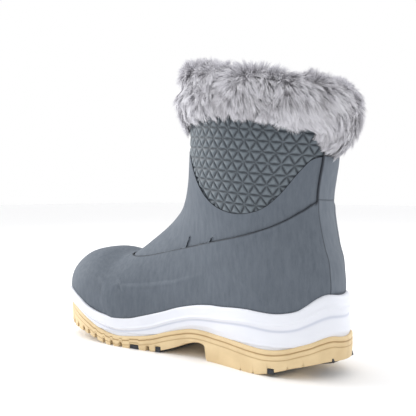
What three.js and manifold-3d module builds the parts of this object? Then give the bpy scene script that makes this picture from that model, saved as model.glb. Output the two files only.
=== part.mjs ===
// A short pull-on winter boot: the right one, toe along +X, inner side along +Y, treads on z = 0.
// Every upper layer is cut from nested copies of one closed foot form, each a named depth inside the last.
import * as THREE from "three";
import { mergeVertices } from "three/addons/utils/BufferGeometryUtils.js";
import Module from "manifold-3d";

const wasm = await Module();
wasm.setup();

// ---- driving sizes, mm ----
const SOLE_LENGTH = 285;
const COLLAR_FRONT = 229; // height of the shaft's top edge at the front
const COLLAR_BACK = 199; // and at the back
const SHAFT_HALF_WIDTH = 53;
const TOE_TURN = 8.5; // how far the toe swings to the inner side
const FIT = 0.3; // clearance between neighbouring pieces
const SHELL = 1.7; // thickness of the grey outer panels
const OVERLAY_STEP = 0.35; // the ankle overlay lies this far below the lower shell
const SLEEVE = 1.4; // embossed sleeve, toe puff and heel counter
const BOOTIE = 3.4;
const LINING = 3;
const FOAM = 5; // footbed foam
const COVER = 1.2; // footbed cover
const PILE = 13.5; // length of the fur outside the shaft
const SOLE_LEDGE = 5.5; // the upper's feather edge inside the outsole's edge
const MIDSOLE_LEDGE = 2.6; // the midsole's wall inside the outsole's edge
const MIDSOLE_WALL = 2.2; // the midsole's least thickness around the upper
const LASTING_MARGIN = 13; // how far the panels turn in under the foot
const TREAD_GROOVE = 3.2; // width of the grooves between lugs
const TREAD_DEPTH = 4;

// ---- depths of the layers, from the outer face of the lower shell inwards ----
const SLEEVE_AT = SHELL + FIT;
const BOOTIE_AT = SLEEVE_AT + SLEEVE + FIT;
const LINING_AT = BOOTIE_AT + BOOTIE + FIT;
const CAVITY_AT = LINING_AT + LINING;

// ---- curves, as [where, value] knots along the sole ----
const GROW = SOLE_LENGTH / 285;
const SHAFT_GROW = SHAFT_HALF_WIDTH / 53;
const INNER_HALF = [[0, 64], [0.12, 55.8], [0.38, 34.6], [0.7, 49.8], [0.9, 62.5], [1, 65]];
const OUTER_HALF = [[0, 64], [0.12, 55.8], [0.38, 38], [0.7, 55], [0.9, 54], [1, 60]];
const FEATHER = [
  [0, 29], [0.15, 26.5], [0.3, 25.5], [0.45, 22.5], [0.58, 18.5],
  [0.7, 16.5], [0.8, 19], [0.9, 27], [0.97, 36], [1, 40],
];
const CUP_FLOOR = [
  [0, 20], [0.14, 17], [0.28, 16.5], [0.39, 16.2], [0.48, 14.5],
  [0.57, 9.8], [0.68, 7.6], [0.76, 8], [0.82, 11.5], [0.9, 18.5], [0.975, 29], [1, 31],
];
const OUTSOLE_TOP = [
  [0, 29.5], [4, 30.8], [9, 29.2], [15, 26.4], [22, 24], [30, 21.3], [39, 19.6], [48, 19],
  [59, 19.5], [71, 20.4], [83, 21.4], [97, 22.2], [110, 23.3], [122, 23.2], [134, 20.9],
  [146, 17.8], [159, 13.9], [170, 11.8], [182, 10.3], [195, 9.2], [206, 10.2], [218, 13.2],
  [231, 18.6], [249, 25.9], [258, 29.6], [278, 41.5], [285, 43],
];
const OUTSOLE_BOTTOM = [
  [0, 13], [7, 12.6], [13, 11.2], [19, 9.6], [27, 7.6], [36, 4.6], [45, 2], [55, 0],
  [103, 0], [106, 1], [108, 11.5], [124, 11.5], [136, 6.7], [147, 3], [160, 0],
  [208, 0], [218, 2], [234, 6], [255, 9.4], [279, 13.5], [285, 15],
];
const MIDSOLE_TOP = [
  [0, 57], [2, 58.5], [7, 60], [12, 57.5], [19, 51.8], [24, 48.4], [32, 46.3], [41, 45.4],
  [50, 45.9], [62, 46.9], [73, 46.8], [86, 45.9], [99, 45.6], [112, 44.1], [125, 41.6],
  [137, 38.7], [149, 35.1], [161, 31.5], [173, 28.6], [187, 26.2], [198, 25.6], [206, 26.2],
  [218, 28.2], [231, 32], [243, 37.7], [260, 43.6], [277, 47.6], [285, 49],
];
const SHAFT_BACK = [
  [27, 7.5], [40, 7.2], [54, 6.9], [63, 6.4], [72, 7.3], [82, 8.7], [91, 11.8], [100, 14],
  [108, 15.8], [118, 17.4], [127, 17.6], [134, 17.1], [144, 15.4], [154, 13.5], [170, 12], [195, 11],
];
// Each section of the foot form: where it starts on the sole (0 heel, 1 toe) or up the back of the shaft
// (0 sole, 1 collar), its ridge point x and z, its half-widths on both sides, and how round its side is.
const FOOT = [
  [1, 280.5, 40, 0.1, 0.1, 1],
  [0.975, 279.5, 50, 18, 16.5, 0.85],
  [0.95, 276.5, 61, 27, 24.5, 0.85],
  [0.91, 268.5, 70.8, 35.5, 31.5, 0.82],
  [0.85, 254, 78.5, 42.5, 38.5, 0.8],
  [0.78, 234, 81, 46.5, 45, 0.82],
  [0.69, 212, 77.5, 46.5, 49.5, 0.85],
  [0.58, 196.5, 85.5, 41.5, 46, 0.9],
  [0.44, 184, 95.6, 36.5, 40.5, 0.95],
  [0.28, 172.2, 104.4, 36.5, 38.5, 1],
  [0.14, 163.4, 111.8, 38, 38.5, 1],
  [0.05, 157.8, 116.8, 39, 39, 1],
  [0.012, 154.9, 119.8, 40, 40, 1],
];
const SHAFT = [
  [0, 152.8, 122.4, 40.5, 40.5, 1],
  [0.08, 150.6, 125.9, 41, 41, 1],
  [0.2, 147.6, 132, 42, 42, 1],
  [0.33, 144.6, 140.2, 44, 44, 1],
  [0.47, 141.6, 150.6, 46.5, 46.5, 1],
  [0.62, 139, 165, 49.5, 49.5, 1],
  [0.8, 137.8, 189, 52.3, 52.3, 1],
  [1, 137.5, COLLAR_FRONT, 53, 53, 1],
];
const SEAM = [
  [320, 112], [222, 112], [211, 90], [203, 79.5], [196, 77], [187, 76.8], [171, 78.8], [132, 87], [96, 94.3], [65, 100.7],
  [45, 106.5], [34, 112.1], [25, 119], [19, 125.2], [-20, 127],
];
const WINDOW = [
  [180, 170], [140, 168.5], [128, 166], [121, 160.5], [114, 150], [107.5, 140], [99, 130],
  [88.5, 122.7], [77, 118.6], [66, 117.2], [54, 118.6], [45, 122.8], [37, 130.5], [31.5, 137.6],
  [27.5, 143.5], [22.5, 150.6], [18.5, 156], [14, 158.4], [-20, 158.4],
];
const STAY_HALF_WIDTH = 10.8;
const STAY_SPLIT = 127; // height of the gap between the two backstay strips
const STAY_TOP = 158.4;
const STAY_REACH = 60; // how far forward the strip cutter runs
const ROUND = 9; // facets down each side of a section
const LIFT_AT = [255, 43.5]; // the toe line that the footbed's heel lifts about, x and z
const LIFTS = [0, 1, 2, 3, 4, 5, 6].map((step) => (step * 10) / 6); // degrees of lift that it must pass

const COLOURS = {
  gum: 0xdfc79c, white: 0xf2f3f8, dark: 0x2c2e33, shell: 0x747b86, overlay: 0x757d87, stay: 0x7c838f,
  relief: 0x5f6973, fur: 0xb4b4b9, fleece: 0xc9c9cc, neoprene: 0x33363b, board: 0xb49a72,
  steel: 0x9da3a8, felt: 0x8a8d92, foam: 0xd8d5cc, backing: 0x6d7076,
};

// ---- curves and the foot form ----
// The value at `at` of a smooth curve through the knots: a cubic in each span, with the slope of its two neighbours.
function through(knots, at) {
  const last = knots.length - 1;
  const x = Math.min(Math.max(at, knots[0][0]), knots[last][0]);
  let i = 0;
  while (i < last - 1 && x >= knots[i + 1][0]) i += 1;
  const slope = (j) => {
    const a = knots[Math.max(j - 1, 0)];
    const b = knots[Math.min(j + 1, last)];
    return (b[1] - a[1]) / (b[0] - a[0]);
  };
  const width = knots[i + 1][0] - knots[i][0];
  const u = (x - knots[i][0]) / width;
  const rise = knots[i + 1][1] - knots[i][1];
  const bow = (1 - u) * (slope(i) * width - rise) - u * (slope(i + 1) * width - rise);
  return knots[i][1] + u * rise + u * (1 - u) * bow;
}

const bend = (s) => TOE_TURN * Math.max((s - 0.55) / 0.45, 0) ** 2;

// A point of the sole's outline: angle 0 at the toe, pi at the heel, inner side for positive angles.
function outlinePoint(angle, inset) {
  const s = (1 + Math.cos(angle)) / 2;
  const half = through(Math.sin(angle) >= 0 ? INNER_HALF : OUTER_HALF, s) * GROW - inset;
  return [inset + (SOLE_LENGTH - 2 * inset) * s, bend(s) + Math.sin(angle) * half];
}

function outline(inset, steps = 56) {
  return Array.from({ length: steps }, (_, i) => outlinePoint((2 * Math.PI * i) / steps, inset));
}

const stationKnots = (column) => [...FOOT, ...SHAFT].map((row, i) => [i, row[column]]);
const RIDGE_X = stationKnots(1);
const RIDGE_Z = stationKnots(2);
const HALF_IN = stationKnots(3);
const HALF_OUT = stationKnots(4);
const SIDE_POWER = stationKnots(5);
const HEEL = FOOT.length;
const TOP = HEEL + SHAFT.length - 1;
const ON_SOLE = [...FOOT.map((row, i) => [i, row[0]]), [HEEL, 0]];
const ON_BACK = SHAFT.map((row, i) => [HEEL + i, row[0]]);

// Where a section starts: its back or feather point, and how wide the feather edge is there.
function sectionFoot(v, inset) {
  const ledge = SOLE_LEDGE + inset;
  if (v < HEEL) {
    const s = Math.min(Math.max(through(ON_SOLE, v), 0), 1);
    const across = 2 * Math.sqrt(Math.max(s * (1 - s), 0));
    return {
      x: ledge + (SOLE_LENGTH - 2 * ledge) * s,
      z: through(FEATHER, s) + inset,
      inner: across * (through(INNER_HALF, s) * GROW - ledge),
      outer: across * (through(OUTER_HALF, s) * GROW - ledge),
    };
  }
  const up = through(ON_BACK, v);
  const z = FEATHER[0][1] + inset + (COLLAR_BACK - FEATHER[0][1] - inset) * up;
  const back = through(SHAFT_BACK, z) * GROW + inset;
  return { x: ledge + (back - ledge) * Math.min(up / 0.08, 1), z, inner: 0, outer: 0 };
}

// One closed section of the foot form, `inset` mm inside the lower shell's outer face.
function section(v, inset) {
  const foot = sectionFoot(v, inset);
  const step = 0.001;
  const dx = through(RIDGE_X, v + step) - through(RIDGE_X, v - step);
  const dz = through(RIDGE_Z, v + step) - through(RIDGE_Z, v - step);
  const inward = new THREE.Vector2(-dz, dx).normalize();
  const ridge = new THREE.Vector2(through(RIDGE_X, v) * GROW, through(RIDGE_Z, v));
  if (inward.dot(new THREE.Vector2(foot.x - ridge.x, foot.z - ridge.y)) < 0) inward.negate();
  if (v <= 0) ridge.set(foot.x + 0.2, foot.z + 0.4);
  else ridge.addScaledVector(inward, inset);
  const collar = v >= HEEL ? (SHAFT_GROW - 1) * through(ON_BACK, v) : 0;
  const arc = (widest, start, side) => {
    const half = Math.max(widest * (1 + collar) - inset, start + 0.001);
    const power = through(SIDE_POWER, v);
    const from = Math.asin(Math.min((start / half) ** (1 / power), 1));
    return Array.from({ length: ROUND + 1 }, (_, k) => {
      const angle = from + ((Math.PI - from) * k) / ROUND;
      const along = (Math.cos(from) - Math.cos(angle)) / (1 + Math.cos(from));
      const x = foot.x + (ridge.x - foot.x) * along;
      const y = side * half * Math.max(Math.sin(angle), 0) ** power;
      return new THREE.Vector3(x, bend(x / SOLE_LENGTH) + y, foot.z + (ridge.y - foot.z) * along);
    });
  };
  const inner = arc(through(HALF_IN, v), foot.inner, 1);
  const outer = arc(through(HALF_OUT, v), foot.outer, -1).reverse().slice(1);
  const across = [1, 2].map((k) => outer[outer.length - 1].clone().lerp(inner[0], k / 3));
  return [...inner, ...outer, ...across];
}

// ---- solids ----
// A three.js geometry as a manifold solid.
function solid(geometry) {
  const bare = geometry.clone();
  bare.deleteAttribute("normal");
  bare.deleteAttribute("uv");
  const joined = mergeVertices(bare, 1e-4);
  const vertProperties = joined.attributes.position.array;
  const triVerts = new Uint32Array(joined.index.array);
  return new wasm.Manifold(new wasm.Mesh({ numProp: 3, vertProperties, triVerts }));
}

// A closed body through rings of equal length: capped at both ends, or joined end to start.
function loft(rings, endless = false) {
  const size = rings[0].length;
  const places = rings.flat().flatMap((p) => [p.x, p.y, p.z]);
  const faces = [];
  const spans = endless ? rings.length : rings.length - 1;
  for (let i = 0; i < spans; i += 1) {
    const next = (i + 1) % rings.length;
    for (let j = 0; j < size; j += 1) {
      const k = (j + 1) % size;
      const [a, b, c, d] = [i * size + j, i * size + k, next * size + k, next * size + j];
      if (2 * j < size) faces.push(a, b, c, a, c, d);
      else faces.push(a, b, d, b, c, d);
    }
  }
  if (!endless) {
    for (const [ring, turned] of [[0, true], [rings.length - 1, false]]) {
      const centre = places.length / 3;
      const middle = rings[ring].reduce((sum, p) => sum.add(p), new THREE.Vector3()).divideScalar(size);
      places.push(middle.x, middle.y, middle.z);
      for (let j = 0; j < size; j += 1) {
        const a = ring * size + j;
        const b = ring * size + ((j + 1) % size);
        faces.push(centre, turned ? b : a, turned ? a : b);
      }
    }
  }
  const geometry = new THREE.BufferGeometry();
  geometry.setAttribute("position", new THREE.Float32BufferAttribute(places, 3));
  geometry.setIndex(faces);
  const made = solid(geometry);
  return made.volume() > 0 ? made : solid(flipped(geometry));
}

function flipped(geometry) {
  const turned = geometry.clone();
  const order = turned.index.array;
  for (let i = 0; i < order.length; i += 3) [order[i + 1], order[i + 2]] = [order[i + 2], order[i + 1]];
  return turned;
}

// A flat outline pushed along one axis: "y" takes [x, z] points, "z" takes [x, y] points.
function prism(points, axis, low, high) {
  const shape = new THREE.Shape(points.map(([a, b]) => new THREE.Vector2(a, b)));
  const body = new THREE.ExtrudeGeometry(shape, { depth: high - low, bevelEnabled: false });
  if (axis === "y") body.rotateX(Math.PI / 2).translate(0, high, 0);
  else body.translate(0, 0, low);
  return solid(body);
}

// A block from its centre and size.
function block(x, y, z, long, wide, tall) {
  return solid(new THREE.BoxGeometry(long, wide, tall).translate(x, y, z));
}

// The band between two height curves, all the way across the boot.
function band(lower, upper, reach = 120) {
  return prism([...lower, ...[...upper].reverse()], "y", -reach, reach);
}

// A curve's knots as straight steps, each point raised by `lift`.
function steps(knots, count, lift = 0, scale = 1) {
  const from = knots[0][0];
  const to = knots[knots.length - 1][0];
  return Array.from({ length: count + 1 }, (_, i) => {
    const at = from + ((to - from) * i) / count;
    return [at * scale, through(knots, at) + lift];
  });
}

const raised = (knots, lift, scale = GROW) => knots.map(([x, z]) => [x * scale, z + lift]);
const level = (z) => [[-60, z], [SOLE_LENGTH + 60, z]];

// The height of the collar's plane at x.
function collarHeight(x) {
  const back = through(SHAFT_BACK, COLLAR_BACK) * GROW;
  const front = SHAFT[SHAFT.length - 1][1] * GROW;
  return COLLAR_BACK + ((COLLAR_FRONT - COLLAR_BACK) * (x - back)) / (front - back);
}

// The closed foot form `inset` mm in, from the sole to `over` mm above the collar.
function footForm(inset, over = 15) {
  const rings = Array.from({ length: TOP + 1 }, (_, v) => section(v, inset));
  rings.push(rings[TOP].map((p) => p.clone().setZ(p.z + over)));
  return loft(rings);
}

const belowCollar = () => band(level(-50), [[-60, collarHeight(-60)], [400, collarHeight(400)]]);

// The wall between two depths, cut level with the collar.
function wall(outer, inner) {
  return footForm(outer).subtract(footForm(inner, 30)).intersect(belowCollar());
}

// What lies under the foot inside the panels' turned-in margin.
function underFoot(inset) {
  return prism(outline(inset), "z", -10, 60);
}

const soleFloor = (lift) => steps(FEATHER, 30, lift, SOLE_LENGTH);
const belowFloor = (lift) => band(level(-30), [[-60, FEATHER[0][1] + lift], ...soleFloor(lift), [400, 60]]);

// A closed sock with its bottom opened inside the lasting margin.
function upperLayer(outer, thick) {
  const opening = underFoot(SOLE_LEDGE + LASTING_MARGIN).intersect(belowFloor(outer + thick + 2.5));
  return wall(outer, outer + thick).subtract(opening);
}

// The plate that fills that opening at the same depth.
function bottomPlate(outer, thick) {
  const room = underFoot(SOLE_LEDGE + LASTING_MARGIN + FIT).intersect(belowFloor(outer + thick + 1));
  return wall(outer, outer + thick).intersect(room);
}

// ---- sole ----
function outsole() {
  const side = band(raised(OUTSOLE_BOTTOM, 0), raised(OUTSOLE_TOP, 0));
  const cup = prism(outline(MIDSOLE_LEDGE), "z", 0, 90).subtract(belowCup(-FIT));
  const tread = prism(outline(0), "z", -1, 90).intersect(side).subtract(cup);
  return treadGrooves().concat(barSeats(FIT)).reduce((rest, cut) => rest.subtract(cut), tread);
}

const belowCup = (lift) => {
  const floor = steps(CUP_FLOOR, 24, lift, SOLE_LENGTH);
  return band(level(-30), [[-60, floor[0][1]], ...floor, [400, floor[24][1]]]);
};

// Grooves across the forefoot, up the toe and across the heel.
function treadGrooves() {
  const deep = (x, z, tilt) => {
    const cut = new THREE.BoxGeometry(TREAD_GROOVE, 150, TREAD_DEPTH * 2);
    return solid(cut.rotateY(-tilt).translate(x * GROW, 0, z));
  };
  const across = [[163.5, 0, 0], [192, 0, 0], [207, 0, 0], [222, 3.2, 0.25], [237, 6.8, 0.2]];
  const toe = [[252, 9, 0.15], [267, 11.3, 0.2]];
  const heel = [[66, 0, 0], [80, 0, 0], [93, 0, 0]];
  const rows = [-18, 18].map((y) => block(192 * GROW, y, 0, 30 * GROW, TREAD_GROOVE, TREAD_DEPTH * 2));
  return [...across, ...toe, ...heel].map(([x, z, tilt]) => deep(x, z, tilt)).concat(rows);
}

// Grip bars of dark rubber across the sole, each let into a seat: its place, length and height span.
const BARS = [
  ["grip_bar_forefoot", 177, 8.8, 0.4, 3.4],
  ["grip_bar_waist", 153.3, 4.8, 0.6, 4.6],
  ["grip_bar_heel", 42, 5, 2.3, 5.8],
];
const PLATE = { x: 14, z: 11.4, tilt: 0.24, long: 21, wide: 30, thick: 3 }; // grip plate on the heel's rear bevel
const barBlock = ([, x, long, low, high], grow) =>
  block(x * GROW, 0, (low - 6 * Math.sign(grow) + high + grow) / 2, long + 2 * grow, 150, high + grow - low + 6 * Math.sign(grow));
const heelPlate = (grow) => {
  const size = [PLATE.long, PLATE.wide, PLATE.thick].map((side) => side + 2 * grow);
  return solid(new THREE.BoxGeometry(...size).rotateY(PLATE.tilt).translate(PLATE.x * GROW, 0, PLATE.z));
};
const barSeats = (grow) => BARS.map((bar) => barBlock(bar, grow)).concat(heelPlate(grow));
const gripBar = (bar) => barBlock(bar, 0).intersect(prism(outline(0.6), "z", -1, 90));

function midsole() {
  const side = band(level(-20), [[-60, 57], ...raised(MIDSOLE_TOP, 0), [400, 50]]);
  const aboveLip = band([[-60, 29.5 + FIT], ...raised(OUTSOLE_TOP, FIT), [400, 43 + FIT]], level(90));
  const flare = footForm(-FIT - MIDSOLE_WALL).intersect(aboveLip);
  const around = prism(outline(MIDSOLE_LEDGE + FIT), "z", 0, 90).add(flare);
  return around.intersect(side).subtract(belowCup(0)).subtract(footForm(-FIT));
}

// ---- upper ----
const stayStrip = (grow) => block(STAY_REACH / 2 - 10, 0, 100, STAY_REACH, 2 * (STAY_HALF_WIDTH + grow), 300);
const aboveSeam = (lift) => band(raised(SEAM, lift).reverse(), [[-20, 300], [400, 300]]);
const belowSeam = (lift) => band([[-20, -20], [400, -20]], raised(SEAM, lift).reverse());
const belowWindow = (lift) => band([[-20, -20], [400, -20]], raised(WINDOW, lift).reverse());

function lowerShell() {
  return upperLayer(0, SHELL).intersect(belowSeam(-FIT)).subtract(stayStrip(FIT));
}

function ankleOverlay() {
  const depth = OVERLAY_STEP;
  const layer = wall(depth, SHELL).intersect(aboveSeam(0)).intersect(belowWindow(0));
  return layer.subtract(stayStrip(FIT));
}

function backstay(low, high) {
  const zone = block(STAY_REACH / 2 - 10, 0, (low + high) / 2, STAY_REACH, 2 * STAY_HALF_WIDTH, high - low);
  return upperLayer(0, SHELL).intersect(zone);
}

const puffZone = (grow) => band([[228 - grow, -10], [400, -10]], [[228 - grow, 140], [400, 140]]);
const counterZone = (grow) => {
  const front = 74 + grow;
  const top = 88 + grow;
  return prism([[-20, -20], [front, -20], [front, 58], [front - 26, top], [-20, top]], "y", -120, 120);
};

function embossedSleeve() {
  const layer = upperLayer(SLEEVE_AT, SLEEVE);
  return layer.subtract(puffZone(FIT)).subtract(counterZone(FIT));
}

// ---- footbed ----
// The room inside the lining as the footbed meets it when its heel is lifted by `angle` degrees about its toe.
function roomAt(angle) {
  const [x, z] = [LIFT_AT[0] * GROW, LIFT_AT[1]];
  return footForm(CAVITY_AT + FIT).translate(-x, 0, -z).rotate(0, -angle, 0).translate(x, 0, z);
}

function footbedLayer(from, thick) {
  const between = band(
    [[-60, FEATHER[0][1] + from], ...soleFloor(from), [400, 70]],
    [[-60, FEATHER[0][1] + from + thick], ...soleFloor(from + thick), [400, 70 + thick]],
  );
  const plan = prism(outline(SOLE_LEDGE + CAVITY_AT + 2), "z", 0, 90);
  return LIFTS.reduce((rest, angle) => rest.intersect(roomAt(angle)), plan.intersect(between));
}

function shank() {
  const long = 96 * GROW;
  const plan = block(104 * GROW, 0, 30, long, 13, 60);
  return wall(0, SHELL).intersect(plan).intersect(belowFloor(SHELL + 1));
}

function bottomFiller() {
  const slot = block(104 * GROW, 0, 30, 96 * GROW + 2 * FIT, 13 + 2 * FIT, 60);
  return bottomPlate(0, SHELL).subtract(slot);
}

// ---- cuff ----
// A ring around the collar, from a closed profile of [outward, up] points at each angle.
function collarRing(profile) {
  const count = 4 * ROUND;
  const rings = Array.from({ length: count }, (_, i) => {
    const angle = (2 * Math.PI * i) / count;
    const flat = i % 2 ? Math.cos(Math.PI / (2 * ROUND)) : 1;
    return profile(angle).map(([out, up]) => collarPoint(angle, out, up, flat));
  });
  return loft(rings, true);
}

// A point beside the shaft; `flat` draws it in to the middle of one of the shaft's facets.
function collarPoint(angle, out, up, flat) {
  const v = TOP + Math.min(up, 0) / 37;
  const back = sectionFoot(v, 0).x;
  const front = through(RIDGE_X, v) * GROW;
  const across = through(HALF_IN, v) * (1 + (SHAFT_GROW - 1) * through(ON_BACK, v)) * flat + out;
  const x = (front + back) / 2 + (((front - back) / 2) * flat + out) * Math.cos(angle);
  return new THREE.Vector3(x, across * Math.sin(angle), collarHeight(x) + up);
}

// How far the fur hangs down: least on the sides, most at the front and the back.
function cuffDrop(angle) {
  const side = Math.sin(angle) ** 2;
  const end = 43.5 + 3 * Math.cos(angle);
  return end + (26 - end) * side;
}

const BACKING = 1.2;
const BACKING_OUT = FIT - SLEEVE_AT;
const BACKING_IN = -(CAVITY_AT + FIT);

function cuffBacking() {
  return collarRing((angle) => {
    const drop = cuffDrop(angle) - 3;
    const outer = BACKING_OUT + BACKING;
    const inner = BACKING_IN - BACKING;
    return [
      [BACKING_OUT, -drop], [outer, -drop], [outer, 0.9], [outer - 0.9, FIT + BACKING],
      [inner + 0.9, FIT + BACKING], [inner, 0.9], [inner, -20], [BACKING_IN, -20],
      [BACKING_IN, FIT], [BACKING_OUT, FIT],
    ];
  });
}

function cuffPile() {
  return collarRing((angle) => {
    const drop = cuffDrop(angle);
    const root = BACKING_OUT + BACKING + FIT;
    const inner = BACKING_IN - BACKING - FIT;
    const top = FIT + BACKING + FIT;
    const lean = 8 * Math.max(Math.cos(angle), 0);
    return [
      [root, 4 - drop], [PILE * 0.55, -drop], [PILE * 0.95, 8 - drop], [PILE, -18],
      [PILE * 0.96 - lean, -1 - lean], [PILE * 0.6 - lean, 9.5 - lean], [0, 15.5 - lean / 2], [-7, 15.5],
      [-14, 9], [-18.5, -6], [-18.5, -18], [inner - 1.5, -24],
      [inner, -21], [inner, 0.9], [inner + 1, top], [root - 1, top], [root, 0.9],
    ];
  });
}

// ---- the boot ----
const boot = new THREE.Group();

function piece(name, body, colour, roughness, metalness = 0) {
  const made = body.getMesh();
  const geometry = new THREE.BufferGeometry();
  geometry.setAttribute("position", new THREE.Float32BufferAttribute(made.vertProperties, 3));
  geometry.setIndex(new THREE.Uint32BufferAttribute(made.triVerts, 1));
  const material = new THREE.MeshStandardMaterial({ color: colour, roughness, metalness });
  const mesh = new THREE.Mesh(geometry, material);
  mesh.name = name;
  boot.add(mesh);
}

piece("outsole", outsole(), COLOURS.gum, 0.6);
BARS.forEach((bar) => piece(bar[0], gripBar(bar), COLOURS.dark, 0.8));
piece("grip_plate_heel", heelPlate(0), COLOURS.dark, 0.8);
piece("midsole", midsole(), COLOURS.white, 0.55);
piece("shank", shank(), COLOURS.steel, 0.35, 1);
piece("bottom_filler", bottomFiller(), COLOURS.felt, 0.95);
piece("insole_board", bottomPlate(SLEEVE_AT, SLEEVE), COLOURS.board, 0.9);
piece("footbed_foam", footbedLayer(CAVITY_AT + FIT, FOAM), COLOURS.foam, 0.8);
piece("footbed_cover", footbedLayer(CAVITY_AT + FOAM + 2 * FIT, COVER), COLOURS.fleece, 0.95);
piece("toe_puff", upperLayer(SLEEVE_AT, SLEEVE).intersect(puffZone(0)), COLOURS.felt, 0.9);
piece("heel_counter", upperLayer(SLEEVE_AT, SLEEVE).intersect(counterZone(0)), COLOURS.felt, 0.9);
piece("bootie", wall(BOOTIE_AT, BOOTIE_AT + BOOTIE), COLOURS.neoprene, 0.9);
piece("fleece_lining", wall(LINING_AT, LINING_AT + LINING), COLOURS.fleece, 1);
piece("lower_shell", lowerShell(), COLOURS.shell, 0.62);
piece("ankle_overlay", ankleOverlay(), COLOURS.overlay, 0.65);
piece("backstay_lower", backstay(-10, STAY_SPLIT - FIT / 2), COLOURS.stay, 0.6);
piece("backstay_upper", backstay(STAY_SPLIT + FIT / 2, STAY_TOP), COLOURS.stay, 0.6);
piece("embossed_sleeve", embossedSleeve(), COLOURS.relief, 0.7);
piece("cuff_backing", cuffBacking(), COLOURS.backing, 0.95);
piece("cuff_pile", cuffPile(), COLOURS.fur, 1);

// Centre the boot on its sole: the origin is under the middle of its box, on the ground.
const box = new THREE.Box3().setFromObject(boot);
boot.position.set(-(box.min.x + box.max.x) / 2, -(box.min.y + box.max.y) / 2, -box.min.z);

export default boot;
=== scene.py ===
"""A short pull-on winter boot with a fur cuff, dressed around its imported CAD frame.

Shapes are worked out in millimetres on the boot's own form (x from the heel, y to the inner side, z up)
and are put into the row frame, in metres, when they become meshes.
"""

import logging
from dataclasses import dataclass
from enum import Enum

import bpy
import numpy as np
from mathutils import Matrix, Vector


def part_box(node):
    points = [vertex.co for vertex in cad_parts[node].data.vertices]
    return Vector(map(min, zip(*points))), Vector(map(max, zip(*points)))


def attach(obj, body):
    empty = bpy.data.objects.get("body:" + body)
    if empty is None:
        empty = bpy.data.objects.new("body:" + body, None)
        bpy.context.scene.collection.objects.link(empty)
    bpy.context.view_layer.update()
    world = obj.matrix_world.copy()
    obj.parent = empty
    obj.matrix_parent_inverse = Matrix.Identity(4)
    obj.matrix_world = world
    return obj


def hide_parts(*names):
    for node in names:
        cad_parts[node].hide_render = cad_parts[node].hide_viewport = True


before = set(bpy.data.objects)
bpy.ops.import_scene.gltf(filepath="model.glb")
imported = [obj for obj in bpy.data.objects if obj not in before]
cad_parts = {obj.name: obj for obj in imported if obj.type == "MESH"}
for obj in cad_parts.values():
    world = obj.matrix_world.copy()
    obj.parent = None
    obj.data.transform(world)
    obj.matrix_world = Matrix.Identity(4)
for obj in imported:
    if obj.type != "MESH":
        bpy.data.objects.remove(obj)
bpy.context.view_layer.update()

LOG = logging.getLogger("boot")
Array = np.ndarray
MM = 0.001

# ---- the boot's driving curves, mm, as (where, value) knots ----
SOLE_LENGTH = 285.0
COLLAR_FRONT = 229.0
COLLAR_BACK = 199.0
TOE_TURN = 8.5
SLEEVE_AT = 2.0
CAVITY_AT = 10.4
SOLE_LEDGE = 5.5
MIDSOLE_LEDGE = 2.9
INNER_HALF = ((0, 64), (0.12, 55.8), (0.38, 34.6), (0.7, 49.8), (0.9, 62.5), (1, 65))
OUTER_HALF = ((0, 64), (0.12, 55.8), (0.38, 38), (0.7, 55), (0.9, 54), (1, 60))
FEATHER = (
    (0, 29), (0.15, 26.5), (0.3, 25.5), (0.45, 22.5), (0.58, 18.5),
    (0.7, 16.5), (0.8, 19), (0.9, 27), (0.97, 36), (1, 40),
)
OUTSOLE_TOP = (
    (0, 29.5), (4, 30.8), (9, 29.2), (15, 26.4), (22, 24), (30, 21.3), (39, 19.6), (48, 19),
    (59, 19.5), (71, 20.4), (83, 21.4), (97, 22.2), (110, 23.3), (122, 23.2), (134, 20.9),
    (146, 17.8), (159, 13.9), (170, 11.8), (182, 10.3), (195, 9.2), (206, 10.2), (218, 13.2),
    (231, 18.6), (249, 25.9), (258, 29.6), (278, 41.5), (285, 43),
)
OUTSOLE_BOTTOM = (
    (0, 13), (7, 12.6), (13, 11.2), (19, 9.6), (27, 7.6), (36, 4.6), (45, 2), (55, 0),
    (103, 0), (106, 1), (108, 11.5), (124, 11.5), (136, 6.7), (147, 3), (160, 0),
    (208, 0), (218, 2), (234, 6), (255, 9.4), (279, 13.5), (285, 15),
)
MIDSOLE_TOP = (
    (0, 57), (2, 58.5), (7, 60), (12, 57.5), (19, 51.8), (24, 48.4), (32, 46.3), (41, 45.4),
    (50, 45.9), (62, 46.9), (73, 46.8), (86, 45.9), (99, 45.6), (112, 44.1), (125, 41.6),
    (137, 38.7), (149, 35.1), (161, 31.5), (173, 28.6), (187, 26.2), (198, 25.6), (206, 26.2),
    (218, 28.2), (231, 32), (243, 37.7), (260, 43.6), (277, 47.6), (285, 49),
)
SHAFT_BACK = (
    (27, 7.5), (40, 7.2), (54, 6.9), (63, 6.4), (72, 7.3), (82, 8.7), (91, 11.8), (100, 14),
    (108, 15.8), (118, 17.4), (127, 17.6), (134, 17.1), (144, 15.4), (154, 13.5), (170, 12), (195, 11),
)
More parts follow.
